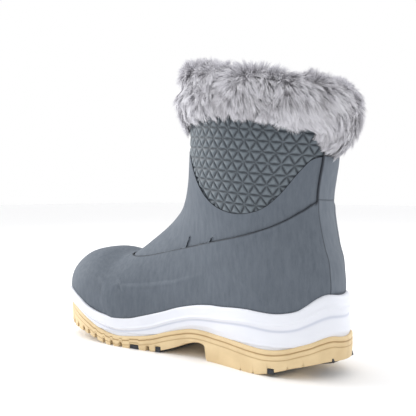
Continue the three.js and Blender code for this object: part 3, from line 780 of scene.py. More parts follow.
# ---- sub-assemblies ----
@dataclass
class Sole:
    """Cup outsole with its lugs, the grip bars let into it, and the midsole that stands in the cup."""

    form: BootForm
    meshes: Meshes
    lug_gap: float = 3.2
    lug_depth: float = 4.0
    edge_gaps: tuple = (267.6, 259.6, 249.8, 239.6, 231.4, 221.8, 211.4, 202.1, 191.6, 163.5)
    heel_nicks: tuple = (69.1, 57.0, 42.1, 29.4, 19.4)
    bars: tuple = ((177, 4.4, 3.4), (153.3, 2.4, 4.6), (42, 2.5, 5.8))
    plate: tuple = (14.0, 11.4, 0.24, 21.0, 30.0, 3.0)
    rows: int = 300

    def stations(self) -> Array:
        """Outline angles from toe to heel, closer together at gaps, seats and the heel's breast."""
        reach = self.lug_gap / 2
        extra = [np.linspace(g - reach - 0.5, g + reach + 0.5, 9) for g in self.edge_gaps]
        extra += [np.linspace(g - 1.2, g + 1.2, 7) for g in self.heel_nicks]
        extra += [np.array([x - h - 0.5, x - h - 0.2, x + h + 0.2, x + h + 0.5]) for x, h, _ in self.bars]
        extra.append(np.linspace(102, 110, 14))
        at = np.concatenate(extra)
        inner = np.arccos(np.clip(2 * at / SOLE_LENGTH - 1, -1, 1))
        return np.unique(np.concatenate([np.linspace(0.002, np.pi - 0.002, self.rows), inner]))

    def edge(self, angle: Array, inset: Array) -> Array:
        """Plan points moved in from the sole's outline along its own normal.

        Args:
            angle: outline angles.
            inset: distances inside the outline.
        Returns:
            The points' x and y, on one more axis.
        """
        x, y = PLAN.outline(angle, 0.0)
        xa, ya = PLAN.outline(angle + 1e-3, 0.0)
        xb, yb = PLAN.outline(angle - 1e-3, 0.0)
        tx, ty = xa - xb, ya - yb
        length = np.hypot(tx, ty) + 1e-9
        return np.stack([x - inset * ty / length, y + inset * tx / length], -1)

    def lifted(self, x: Array, across: Array) -> Array:
        """How far the tread's face is cut up at a place.

        Args:
            x: place along the sole.
            across: share of the half-width, 0 in the middle.
        Returns:
            The cut's depth in mm.
        """
        gap = np.zeros(np.broadcast(x, across).shape)
        reach = self.lug_gap / 2
        for g in self.edge_gaps:
            gap = np.maximum(gap, 1 - smoother(np.abs(x - g), reach - 0.15, reach + 0.2))
        rib = smoother(np.abs(across), 0.36, 0.4) - smoother(np.abs(across), 0.46, 0.5)
        fore = smoother(x, 165, 167) * (1 - smoother(x, 214, 218))
        heel = np.zeros(gap.shape)
        for g in (66.0, 80.0, 93.0):
            heel = np.maximum(heel, 1 - smoother(np.abs(x - g), 1.4, 1.9))
        nick = np.zeros(gap.shape)
        for g in self.heel_nicks:
            nick = np.maximum(nick, 1 - smoother(np.abs(x - g), 0.4, 0.8))
        nick = nick * smoother(np.abs(across), 0.93, 0.97)
        inside = 1 - smoother(np.abs(across), 0.8, 0.84)
        return np.maximum.reduce([gap * self.lug_depth, rib * fore * 3.4, heel * 3.6 * inside, nick * 1.5])

    def tread(self, x: Array, across: Array) -> Array:
        """The height of the tread's face: the bottom curve, its cuts, and the seats of the grip bars."""
        z = through(OUTSOLE_BOTTOM, x) + self.lifted(x, across)
        for place, half, top in self.bars:
            z = np.where(np.abs(x - place) < half + 0.3, np.maximum(z, top + 0.3), z)
        return z

    def seat(self, points: Array) -> Array:
        """Points of the tread lifted over the grip plate let into the heel's bevel."""
        place, height, tilt, long, wide, thick = self.plate
        x, y, z = points[..., 0], points[..., 1], points[..., 2]
        inside = (np.abs(x - place) < long / 2 * np.cos(tilt) + 0.4) & (np.abs(y) < wide / 2 + 0.4)
        roof = height + thick / 2 + 0.3 - (x - place) * np.tan(tilt)
        return np.where(inside, np.maximum(z, roof), z)

    def outsole(self) -> None:
        """The outsole: at each station a section from one lip down, across the tread and up to the other.

        Two fine grooves run along the wall at set distances below its top edge;
        the lugs' gaps notch its bottom.
        """
        angle = self.stations()
        x = SOLE_LENGTH * (1 + np.cos(angle)) / 2
        top = through(OUTSOLE_TOP, x)
        down = np.array([
            2.6, 1.2, 0.35, 0.05, 0, 0.3, 0.9, 1.8, 2.6, 3.0, 3.3,
            3.6, 3.9, 4.2, 4.6, 5.4, 6.4, 7.0, 7.3, 7.6, 7.9, 8.3,
        ])
        inset = np.array([
            2.7, 2.65, 2.5, 2.1, 1.4, 0.7, 0.25, 0.05, 0.05, 0.2, 0.75,
            0.95, 0.75, 0.2, 0.02, 0, 0, 0.1, 0.5, 0.5, 0.1, 0,
        ])
        share = np.linspace(0, 1, 9)[1:]
        sides = []
        for sign in (1.0, -1.0):
            z_tread = self.tread(x, np.ones_like(x))
            room = np.maximum(top - z_tread - 1.2, 2.0)
            squeeze = np.minimum(room / 8.3, 1.0)
            z_up = top[:, None] - down[None, :] * squeeze[:, None]
            z_low = z_up[:, -1:] + (z_tread[:, None] + 0.7 - z_up[:, -1:]) * share[None, :]
            z = np.concatenate([z_up, z_low, z_tread[:, None] + 0.2, z_tread[:, None]], 1)
            flare = 0.9 * smoother(share[None, :], 0.0, 1.0) * np.ones_like(x)[:, None]
            foot = flare[:, -1:]
            lips = np.broadcast_to(inset, z_up.shape)
            pull = np.concatenate([lips, flare * 0.6, foot * 0.8, foot * 1.5], 1)
            plan = self.edge(sign * angle[:, None] * np.ones_like(z), pull)
            sides.append(np.concatenate([plan, z[..., None]], -1))
        inner, outer = sides
        t = np.linspace(0, 1, 62)[1:-1]
        left, right = inner[:, -1:, :], outer[:, -1:, :]
        flat = left + (right - left) * t[None, :, None]
        flat[..., 2] = self.tread(flat[..., 0], 1 - 2 * t[None, :])
        flat[..., 2] = self.seat(flat)
        grid = np.concatenate([inner, flat, outer[:, ::-1]], 1)
        below = np.concatenate([down, np.full(len(share) + 2, 20.0)])
        # painted shade: dark lines in the wall's two grooves and in the lugs' cuts, kept as the mesh's
        # `groove` value
        line = bell(below, 3.6, 0.45) + 0.7 * bell(below, 7.45, 0.35)
        groove = np.concatenate([line, np.zeros(len(t)), line[::-1]])
        across = np.concatenate([np.ones(len(line)), 1 - 2 * t, -np.ones(len(line))])
        cut = self.lifted(grid[..., 0], across[None, :])
        wall = np.concatenate([np.zeros(len(down)), share, [1, 1]])
        low = np.concatenate([wall, np.ones(len(t)), wall[::-1]])
        values = np.clip(groove[None, :] + smoother(cut, 0.5, 3.0) * low[None, :] ** 3 * 0.7, 0, 1)
        faces = Meshes.grid(len(angle), grid.shape[1])[:, ::-1]
        made = self.meshes.piece("outsole_rubber", grid, [faces], {"groove": values}, merge=0.01)
        dress(made, GumRubber().material(), Body.BOOT, ("outsole",))

    def midsole(self) -> None:
        """The foam wall: the wider of the plan's outline and the upper's flare, with a ridge and a crease.

        Below the top edge the wall swells, draws in to a crease and swells again; the crease's share
        of the height goes from two thirds at the ball to under half at the heel's peak.
        """
        angle = np.linspace(0, 2 * np.pi, 641)[:-1]
        x, y = PLAN.outline(angle, MIDSOLE_LEDGE)
        side = np.where(np.sin(angle) >= 0, 1.0, -1.0)
        top = through(MIDSOLE_TOP, x)
        foot = through(OUTSOLE_TOP, x) - 2.2
        h = np.concatenate([[0, 0.012, 0.035, 0.07, 0.11], np.linspace(0.15, 1.0, 44)])
        z = top[:, None] + (foot - top)[:, None] * h[None, :]
        crease = through(
            ((0, 0.5), (20, 0.48), (60, 0.42), (110, 0.52), (150, 0.6), (195, 0.66), (240, 0.64), (285, 0.6)),
            x,
        )
        ridge = through(
            (
                (0, 0.26), (20, 0.28), (60, 0.31), (110, 0.41), (150, 0.48), (195, 0.52), (240, 0.5),
                (285, 0.46),
            ),
            x,
        )
        tall = (top - foot)[:, None]
        swell = 0.75 * bell(h[None, :], ridge[:, None], 0.045) + 0.35 * bell(h[None, :], ridge[:, None], 0.16)
        swell = swell + 0.9 * smoother(h[None, :], crease[:, None], crease[:, None] + 0.3)
        draw = 0.45 * bell(h[None, :], crease[:, None], 0.06)
        rim = 1.5 * (1 - np.sqrt(1 - np.clip(1 - h[None, :] * tall / 1.8, 0, 1) ** 2))
        out = (swell - draw - 0.45) * smoother(tall, 8, 16) - rim
        push = 2.3 * smoother(x, 250, 270) + 1.0 * (1 - smoother(x, 8, 28))
        out = out + push[:, None] * smoother(h, 0.0, 0.12)[None, :]
        wide = np.broadcast_to(x[:, None], z.shape)
        flare = self.form.half_at(wide, z, np.broadcast_to(side[:, None], z.shape), -3.1)
        spine = bend(SOLE_LENGTH * (1 + np.cos(angle)) / 2)
        plain = np.abs(y - spine)[:, None]
        even = plain * np.ones_like(z)
        half = np.where(flare > 0, softly_larger(even, flare, 1.6), even)
        half = np.maximum(half, plain)
        half = np.minimum(half, plain + 1.0 + 8 * (1 - smoother(h[None, :], 0.45, 0.9)))
        out = out * (1 - 0.75 * smoother(h[None, :], 0.82, 0.97))
        xa, ya = PLAN.outline(angle + 1e-3, MIDSOLE_LEDGE)
        xb, yb = PLAN.outline(angle - 1e-3, MIDSOLE_LEDGE)
        length = np.hypot(xa - xb, ya - yb)
        nx, ny = (ya - yb) / length, -(xa - xb) / length
        across = spine[:, None] + side[:, None] * half + ny[:, None] * out
        wall = np.stack([wide + nx[:, None] * out, across, z], -1)
        ledge = np.array([7.0, 5.0, 3.4, 2.2, 1.3, 0.6])
        sink = np.array([4.0, 1.8, 0.7, 0.25, 0.05, -0.02])
        start = wall[:, :1, :]
        inner = np.repeat(start, len(ledge), 1)
        inner[..., 0] -= nx[:, None] * ledge
        inner[..., 1] -= ny[:, None] * ledge
        inner[..., 2] -= sink[None, :]
        grid = np.concatenate([inner, wall], 1)
        # painted shade: a dark line along the crease, kept as the mesh's `groove` value
        line = bell(h[None, :], crease[:, None], 0.035) * smoother(tall, 8, 16)
        values = np.concatenate([np.zeros((len(angle), len(ledge))), line], 1)
        faces = Meshes.grid(len(angle), grid.shape[1], close_rows=True)
        made = self.meshes.piece("midsole_foam", grid, [faces], {"groove": values})
        Meshes.thicken(made, 1.6)
        dress(made, WhiteFoam().material(), Body.BOOT, ("midsole",))

    def build(self) -> None:
        """Makes the sole's pieces and finishes the grip bars, which keep their CAD meshes."""
        self.outsole()
        self.midsole()
        rubber = DarkRubber().material()
        for name in ("grip_bar_forefoot", "grip_bar_waist", "grip_bar_heel", "grip_plate_heel"):
            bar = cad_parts[name]
            bar.data.materials.clear()
            bar.data.materials.append(rubber)
            edge = bar.modifiers.new("edge", "BEVEL")
            edge.width = 0.4 * MM
            edge.segments = 2


def rim(distance: Array, radius: float) -> Array:
    """How far a panel's face drops at a distance from its edge, for an edge rounded to a quarter circle."""
    return radius * (1 - np.sqrt(1 - (1 - np.minimum(distance, radius) / radius) ** 2))


def spaced(count: int, fine: int = 5, share: float = 0.012) -> Array:
    """Numbers from 0 to 1, with a few close together at both ends."""
    ends = share * np.linspace(0, 1, fine)
    return np.concatenate([ends[:-1], np.linspace(share, 1 - share, count), 1 - ends[::-1][1:]])


def run_down(flat: Array) -> Array:
    """How far each point is from its column's first, along the column."""
    steps = np.linalg.norm(np.diff(flat, axis=0), axis=-1)
    return np.concatenate([np.zeros((1, flat.shape[1])), np.cumsum(steps, 0)])


@dataclass
class Upper:
    """The coated panels: lower shell, ankle overlay and the two strips of the backstay."""

    form: BootForm
    meshes: Meshes
    overlay_step: float = 0.35
    bulge: float = 1.3
    edge_radius: float = 0.5
    ridge: tuple = (
        (94, 72.5), (106.4, 70.5), (117.9, 66.6), (134.3, 61.6), (151.7, 58.3), (161.6, 56.4), (177.2, 54.6),
        (193.6, 53.3), (207.9, 54.6), (217.9, 58.2), (240, 66),
    )
    fold: tuple = ((20, 203), (28.5, 204.7), (42.7, 209.5), (58.2, 217.9), (75, 226))

    def stay_edge(self, v: Array, side: Array, half: float) -> Array:
        """The phi where a section is `half` mm off the centreline at the back; 0 where it starts wider."""
        _, _, sole = self.form.start(v, side, np.zeros_like(v))
        widest = np.where(side > 0, self.form.column(v, 3), self.form.column(v, 4))
        power = self.form.column(v, 5)
        wide = np.maximum(widest, 1.0)
        begin = np.arcsin(np.clip((sole / wide) ** (1 / power), 0, 1))
        reach = np.arcsin(np.clip((half / wide) ** (1 / power), 0, 1))
        return np.where(v > 9, np.maximum(reach - begin, 0) / (np.pi - begin), 0.0)

    def cut(self, v: Array, side: float, line: tuple, depth: float) -> Array:
        """The phi at which each section climbs through a height curve, or 1 where it stays below.

        Args:
            v: section numbers.
            side: 1 inner, -1 outer.
            line: the height curve.
            depth: how deep the face lies.
        Returns:
            Unsigned phi.
        """
        phi = np.linspace(0, 1, 1400)
        at = self.form.surface(v[:, None], side * np.maximum(phi, 1e-6)[None, :], depth)
        over = at[..., 2] - through(line, at[..., 0])
        hit = np.argmax(over > 0, 1)
        rows = np.arange(len(v))
        before = np.maximum(hit - 1, 0)
        a, b = over[rows, before], over[rows, hit]
        found = phi[before] + (phi[1] - phi[0]) * np.clip(-a / (b - a + 1e-12), 0, 1)
        return np.where((over > 0).any(1), np.where(hit == 0, 0.0, found), 1.0)

    def moulded(self, flat: Array) -> tuple[Array, Array]:
        """The bumper moulded along the shell's side, behind its fold and below its ridge.

        Args:
            flat: points of the plain face.
        Returns:
            How far the face stands out, and the painted shade in the fold's crease.
        """
        x, z = flat[..., 0], flat[..., 2]
        below = smoother(through(self.ridge, x) - z, -1.2, 2.2)
        behind = smoother(through(self.fold, z) - x, -1.5, 1.5)
        fades = smoother(x, 92, 165)
        bead = bell(through(self.ridge, x) - z, 1.8, 1.6) * behind * fades
        crease = bell(through(self.fold, z) - x, -0.8, 1.5) * below * smoother(z, 20, 34)
        lift = self.bulge * below * behind * fades + 0.3 * bead - 0.35 * crease
        # the crease's depth, scaled, is the painted shade in the fold
        return lift, crease * 0.22

    def face(
        self, v: Array, phi: Array, depth: float, edge: Array, moulded: bool = False
    ) -> tuple[Array, Array]:
        """A panel's face, which waves a little and rolls over at its free edges.

        Args:
            v: section numbers of its grid.
            phi: signed phi of its grid.
            depth: how deep it lies.
            edge: distance from the nearest free edge, in mm.
            moulded: whether it carries the toe's bumper.
        Returns:
            Points in mm, and the painted shade on each, 0 to 1: shadow lines at its free edges, in the fold
            and along the midsole's top.
        """
        flat = self.form.surface(v, phi, depth)
        lift = 0.2 * Ripple(32, 5).at(flat)
        # painted shadow: a dark line along each free edge, where the seams' gaps fall into shade
        painted_shade = 0.92 * (1 - smoother(edge, 0.15, 0.6))
        # the moulded toe adds the fold's painted shade
        if moulded:
            stands, shade = self.moulded(flat)
            lift, painted_shade = lift + stands, np.maximum(painted_shade, shade)
        # painted shadow: a dark band on the panels just above the midsole's top, where the upper meets the
        # foam
        over = flat[..., 2] - through(MIDSOLE_TOP, flat[..., 0])
        painted_shade = np.maximum(painted_shade, 0.7 * bell(over, -0.2, 1.1))
        rolled = rim(np.maximum(edge, 0), self.edge_radius)
        return self.form.surface(v, phi, depth - lift + rolled), painted_shade

    def panel(
        self, name: str, v: Array, phi: Array, depth: float, edge: Array, colour: CoatedFabric
    ) -> None:
        """One panel as a mesh.

        Args:
            name: the piece's name, its node's name and _skin.
            v: section numbers of its grid.
            phi: signed phi of its grid.
            depth: how deep its face lies.
            edge: distance from the nearest free edge, in mm.
            colour: its finish.
        """
        points, painted_shade = self.face(v, phi, depth, edge)
        turned = phi[0, -1] < 0 or phi[-1, -1] < 0
        faces = Meshes.grid(*v.shape)
        if turned:
            faces = faces[:, ::-1]
        # the `groove` value carries the painted shade to the material
        made = self.meshes.piece(name, points, [faces], {"groove": painted_shade})
        Meshes.thicken(made, 1.25)
        dress(made, colour.material(), Body.BOOT, (name.rsplit("_skin", 1)[0],))
        LOG.info("%s: %d by %d", name, *v.shape)

    def side_distance(self, flat: Array, line: tuple) -> Array:
        """How far points are below a height curve, measured square to it in the side view."""
        x = flat[..., 0]
        slope = (through(line, x + 0.5) - through(line, x - 0.5)) / 1.0
        return (through(line, x) - flat[..., 2]) / np.sqrt(1 + slope**2)

    def lower_shell(self) -> None:
        """Rows of constant section from the sole or the backstay to the seam, and over the toe."""
        at = np.concatenate([np.linspace(0, 1, 50) ** 1.3 * 6.6, np.linspace(6.6, 17.75, 150)[1:]])
        both = []
        for side in (1.0, -1.0):
            low = self.stay_edge(at, np.full(at.shape, side), STAY_HALF_WIDTH + GAP)
            high = np.maximum(self.cut(at, side, SEAM, 0.0), low + 1e-4)
            c = spaced(104, 7, 0.014)
            both.append(side * (low[:, None] + (high - low)[:, None] * c[None, :]))
        phi = np.concatenate([both[0], both[1][:, ::-1]], 1)
        phi = np.where(phi == 0, 1e-6, phi)
        half = both[0].shape[1]
        v = np.broadcast_to(at[:, None], phi.shape)
        flat = self.form.surface(v, phi, 0.0)
        edge = self.side_distance(flat, SEAM) + 0.02
        stay = np.where(v > 12.2, np.abs(flat[..., 1] - bend(flat[..., 0])) - STAY_HALF_WIDTH - GAP, 9.0)
        stay = np.where(flat[..., 0] < 60, stay, 9.0)
        edge = np.minimum(edge - GAP, stay)
        colour = CoatedFabric("coated_shell", srgb(97, 104, 113), srgb(84, 91, 100))
        joined = at <= 6.4
        count = int(joined.sum())
        self.shell_mesh(v, phi, edge, half, count, colour)

    def shell_mesh(
        self, v: Array, phi: Array, edge: Array, half: int, joined: int, colour: CoatedFabric
    ) -> None:
        """The shell's mesh: both sides are one sheet over the toe and part where the seam starts.

        Args:
            v: section numbers.
            phi: signed phi, inner side first.
            edge: distance from the nearest free edge.
            half: how many columns are on the inner side.
            joined: how many rows run over the ridge.
            colour: the finish.
        """
        points, painted_shade = self.face(v, phi, 0.0, edge, moulded=True)
        rows, columns = v.shape
        faces = Meshes.grid(rows, columns).reshape(rows - 1, columns - 1, 4)
        keep = np.ones((rows - 1, columns - 1), bool)
        keep[joined:, half - 1] = False
        # the `groove` value carries the painted shade to the material
        made = self.meshes.piece("lower_shell_skin", points, [faces[keep]], {"groove": painted_shade}, merge=0.004)
        Meshes.thicken(made, 1.25)
        dress(made, colour.material(), Body.BOOT, ("lower_shell",))
        LOG.info("lower_shell_skin: %d by %d", rows, columns)

    def border(self, side: float, upper: bool, count: int) -> tuple[Array, Array]:
        """Section numbers and phi along one of the overlay's edges, evenly spaced from the backstay on.

        Args:
            side: 1 inner, -1 outer.
            upper: the window's edge, or else the seam.
            count: how many places.
        Returns:
            Section numbers and unsigned phi.
        """
        if upper:
            stay = float(self.stay_edge(np.array([19.2]), np.array([side]), STAY_HALF_WIDTH + GAP)[0])
            phi = np.linspace(stay, 1, 600)
            v = self.form.crossing(side * phi, WINDOW, self.overlay_step, 11.0)
        else:
            v = np.linspace(17.76, 6.42, 600)
            low = self.stay_edge(v, np.full(v.shape, side), STAY_HALF_WIDTH + GAP)
            phi = np.maximum(self.cut(v, side, SEAM, self.overlay_step), low)
        path = self.form.surface(v, side * phi, self.overlay_step)
        run = np.concatenate([[0], np.cumsum(np.linalg.norm(np.diff(path, axis=0), axis=1))])
        even = np.linspace(0, run[-1], count)
        return np.interp(even, run, v), np.interp(even, run, phi)

    def turned(self, v: Array, phi: Array, side: float) -> Array:
        """The angle along each section's own arc that phi stands for."""
        _, begin = self.form.opening(v, np.full(v.shape, side), np.full(v.shape, self.overlay_step))
        return begin + (np.pi - begin) * phi

    def overlay(self) -> None:
        """The ankle overlay: straight steps in section and angle from its seam to its window."""
        count = 200
        c = spaced(100, 7, 0.014)
        grids = []
        for side in (1.0, -1.0):
            v0, p0 = self.border(side, False, count)
            v1, p1 = self.border(side, True, count)
            v = v0[None, :] + (v1 - v0)[None, :] * c[:, None]
            turn = [self.turned(place, share, side) for place, share in ((v0, p0), (v1, p1))]
            angle = turn[0][None, :] + (turn[1] - turn[0])[None, :] * c[:, None]
            _, begin = self.form.opening(v, np.full(v.shape, side), np.full(v.shape, self.overlay_step))
            phi = (angle - begin) / (np.pi - begin)
            short = self.stay_edge(v[:, :1], np.full((len(c), 1), side), STAY_HALF_WIDTH + GAP) - phi[:, :1]
            phi = phi + short * np.exp(-np.arange(count) / 7.0)[None, :]
            grids.append((v, side * np.clip(phi, 1e-5, 1)))
        v = np.concatenate([grids[0][0], grids[1][0][:, ::-1][:, 1:]], 1)
        phi = np.concatenate([grids[0][1], grids[1][1][:, ::-1][:, 1:]], 1)
        flat = self.form.surface(v, phi, self.overlay_step)
        down = run_down(flat)
        stay = np.abs(flat[..., 1] - bend(flat[..., 0])) - STAY_HALF_WIDTH - GAP + self.overlay_step
        stay = np.where(flat[..., 0] < 60, stay, 9.0)
        edge = np.minimum.reduce([down, down[-1:] - down, stay])
        colour = CoatedFabric("coated_overlay", srgb(97, 104, 113), srgb(86, 93, 102))
        self.panel("ankle_overlay_skin", v, phi, self.overlay_step, edge, colour)

    def backstays(self) -> None:
        """The two strips up the back, each between two heights and two edges."""
        colour = CoatedFabric("coated_stay", srgb(108, 115, 124), srgb(97, 104, 113))
        up = np.linspace(len(FOOT), self.form.top, 900)
        height = self.form.surface(up, np.full(up.shape, 1e-6), 0.0)[:, 2]
        for name, low, high in (
            ("backstay_lower_skin", 32.0, STAY_SPLIT - 0.2),
            ("backstay_upper_skin", STAY_SPLIT + 0.3, STAY_TOP),
        ):
            rows = np.interp(low + (high - low) * spaced(int(high - low), 5, 0.02), height, up)
            across = 2 * spaced(28, 5, 0.03) - 1
            v = np.broadcast_to(rows[:, None], (len(rows), len(across)))
            reach = self.stay_edge(rows, np.ones_like(rows), STAY_HALF_WIDTH)
            phi = reach[:, None] * across[None, :]
            flat = self.form.surface(v, phi, 0.0)
            down = run_down(flat)
            edge = np.minimum.reduce([down, down[-1:] - down, STAY_HALF_WIDTH - np.abs(flat[..., 1])])
            self.panel(name, v, phi, 0.0, edge, colour)

    def build(self) -> None:
        """Makes the panels."""
        self.lower_shell()
        self.overlay()
        self.backstays()


@dataclass
class ReliefSleeve:
    """The shaft's embossed panel, seen between the overlay's window and the fur."""

    form: BootForm
    meshes: Meshes
    around: int = 37
    row: float = 7.8
    slope: float = 0.1
    petal: float = 1.35
    deep: float = 0.75
    columns: int = 424

    def pattern(self, across: Array, up: Array, edge_mm: float = 9.4) -> tuple[Array, Array]:
        """A lattice of equal triangles with a lens-shaped groove along every edge, so six meet as a star.

        Args:
            across: place around the shaft, in triangle edges.
            up: height, in rows.
            edge_mm: an edge's length.
        Returns:
            How deep into a groove each place is, 0 to 1, and how far it stands in a triangle's middle.
        """
        row = np.round(up)
        far = np.full(across.shape, 9.0)
        depth = np.zeros(across.shape)
        for offset, along, scale in (
            (up - row, across - row / 2, self.row),
            (across - up / 2 - np.round(across - up / 2), up, edge_mm * 0.866),
            (across + up / 2 - np.round(across + up / 2), up, edge_mm * 0.866),
        ):
            place = along - np.floor(along) - 0.5
            lens = self.petal * (1 - (2 * place) ** 2)
            distance = np.abs(offset) * scale
            depth = np.maximum(depth, smoother(lens - distance, -0.28, 0.5))
            far = np.minimum(far, distance)
        return depth, smoother(far, 0.8, 2.9)

    def build(self) -> None:
        """Makes the sleeve from below the window's edge to under the fur, with the relief in its mesh."""
        t = np.linspace(0, 2, self.columns + 1)[:-1]
        sign = np.where(t <= 1, 1.0, -1.0)
        phi = sign * np.where(t <= 1, t, 2 - t)
        window = self.form.crossing(phi, WINDOW, SLEEVE_AT, 5.0)
        low = np.maximum(window - 0.75, 9.0)
        c = np.concatenate([np.linspace(0, 0.82, 107), np.linspace(0.82, 1, 8)[1:]])
        v = low[None, :] + (self.form.top - low)[None, :] * c[:, None]
        line = np.broadcast_to(phi, v.shape)
        flat = self.form.surface(v, line, SLEEVE_AT)
        whole = np.concatenate([np.linspace(0, 1, 1001), -np.linspace(1, 0, 1001)[1:]])
        ring = self.form.surface(np.full(2001, 17.4), whole, SLEEVE_AT)
        run = np.concatenate([[0], np.cumsum(np.linalg.norm(np.diff(ring, axis=0), axis=1))])
        turn = np.interp(t, np.linspace(0, 2, 2001), run / run[-1]) * self.around
        level = (flat[..., 2] - 117.0 - self.slope * (flat[..., 0] - 70)) / self.row
        groove, dome = self.pattern(np.broadcast_to(turn, v.shape) + 0.23, level)
        depth = SLEEVE_AT + self.deep * groove - 0.2 * dome - 0.12
        points = self.form.surface(v, line, depth)
        faces = Meshes.grid(*v.shape, close_columns=True)
        # painted shade: dark in the grooves, and a little darker off the triangles' raised middles
        painted_shade = groove * 0.85 + 0.1 * (1 - dome)
        made = self.meshes.piece("embossed_sleeve_skin", points, [faces], {"groove": painted_shade})
        Meshes.thicken(made, 0.8)
        dress(made, ReliefFabric().material(), Body.BOOT, ("embossed_sleeve",))


@dataclass
class Inside:
    """What shows inside the collar: the fleece lining and the footbed with its cover."""

    form: BootForm
    meshes: Meshes

    def lining(self) -> None:
        """The cavity's own surface with soft curls, from the toe to under the collar."""
        t = np.linspace(0, 2, 221)[:-1]
        phi = np.where(t <= 1, t, t - 2)
        v = np.concatenate([np.linspace(1.0, 12.9, 70), np.linspace(13, self.form.top - 0.04, 90)])
        grid = np.broadcast_to(v[:, None], (len(v), len(t)))
        line = np.broadcast_to(phi, grid.shape)
        flat = self.form.surface(grid, line, CAVITY_AT)
        curls = 0.45 * Ripple(5.5, 21, 14).at(flat) + 0.35 * Ripple(3.2, 22, 14).at(flat)
        points = self.form.surface(grid, line, CAVITY_AT - 0.35 + np.clip(curls, -1, 1) * 0.6)
        faces = Meshes.grid(*grid.shape, close_columns=True)[:, ::-1]
        made = self.meshes.piece("fleece_lining_skin", points, [faces])
        Meshes.thicken(made, 1.4)
        dress(made, CurlyFleece("fleece").material(), Body.BOOT, ("fleece_lining",))

    def footbed(self) -> None:
        """The foam bed and the fleece cover that lies on it, both on the sole's own curve."""
        depth = CAVITY_AT + 0.6
        angle = np.linspace(0, 2 * np.pi, 241)[:-1]
        share = np.concatenate([[0.0], np.linspace(0.08, 0.93, 34), np.linspace(0.95, 1, 8)])
        tight = SOLE_LEDGE + CAVITY_AT + 3.4 + 2.0 * bell((1 + np.cos(angle)) / 2, 0.1, 0.22)
        x, y = PLAN.outline(angle, tight)
        centre = 148.0
        fullness = np.sqrt(np.clip(1 - ((share - 0.93) / 0.07).clip(0, 1) ** 2, 0, 1))

        def sheet(height: Array, grow: float) -> Array:
            """Points of the plan at a height above the inside's floor, the plan scaled by grow."""
            gx = centre + (x - centre)[None, :] * share[:, None] * grow
            gy = bend(gx) * (1 - share[:, None]) + y[None, :] * share[:, None] * grow
            s = np.clip((gx - SOLE_LEDGE) / (SOLE_LENGTH - 2 * SOLE_LEDGE), 0, 1)
            return np.stack([gx, gy, through(FEATHER, s) + depth + height], -1)

        dimple = 0.25 * Ripple(7, 31, 12).at(sheet(np.zeros((len(share), len(angle))), 1.0))
        top = sheet(1.6 + 4.0 * fullness[:, None] * np.ones_like(dimple), 1.0)
        base = sheet(0.3 * np.ones_like(dimple) + 0.8 * (1 - fullness[:, None]), 1.0)
        count = len(angle)
        faces = Meshes.grid(len(share), count, close_columns=True)
        foam = np.concatenate([top, base[::-1]], 0)
        both = Meshes.grid(2 * len(share), count, close_columns=True)
        bed = self.meshes.piece("footbed_foam_bed", foam, [both[:, ::-1]], merge=0.01)
        pressed = PlainStock("foam_bed", srgb(214, 210, 200), 0.8)
        dress(bed, pressed.material(), Body.FOOTBED, ("footbed_foam",))
        lid = sheet(1.95 + 4.0 * fullness[:, None] + dimple * (1 - share[:, None] ** 6), 0.997)
        cover = self.meshes.piece("footbed_cover_cloth", lid, [faces[:, ::-1]], merge=0.01)
        Meshes.thicken(cover, 1.0, outward=True)
        fleece = CurlyFleece("cloth", srgb(188, 188, 192))
        dress(cover, fleece.material(), Body.FOOTBED, ("footbed_cover",))

    def build(self) -> None:
        """Makes the lining and the footbed."""
        self.lining()
        self.footbed()


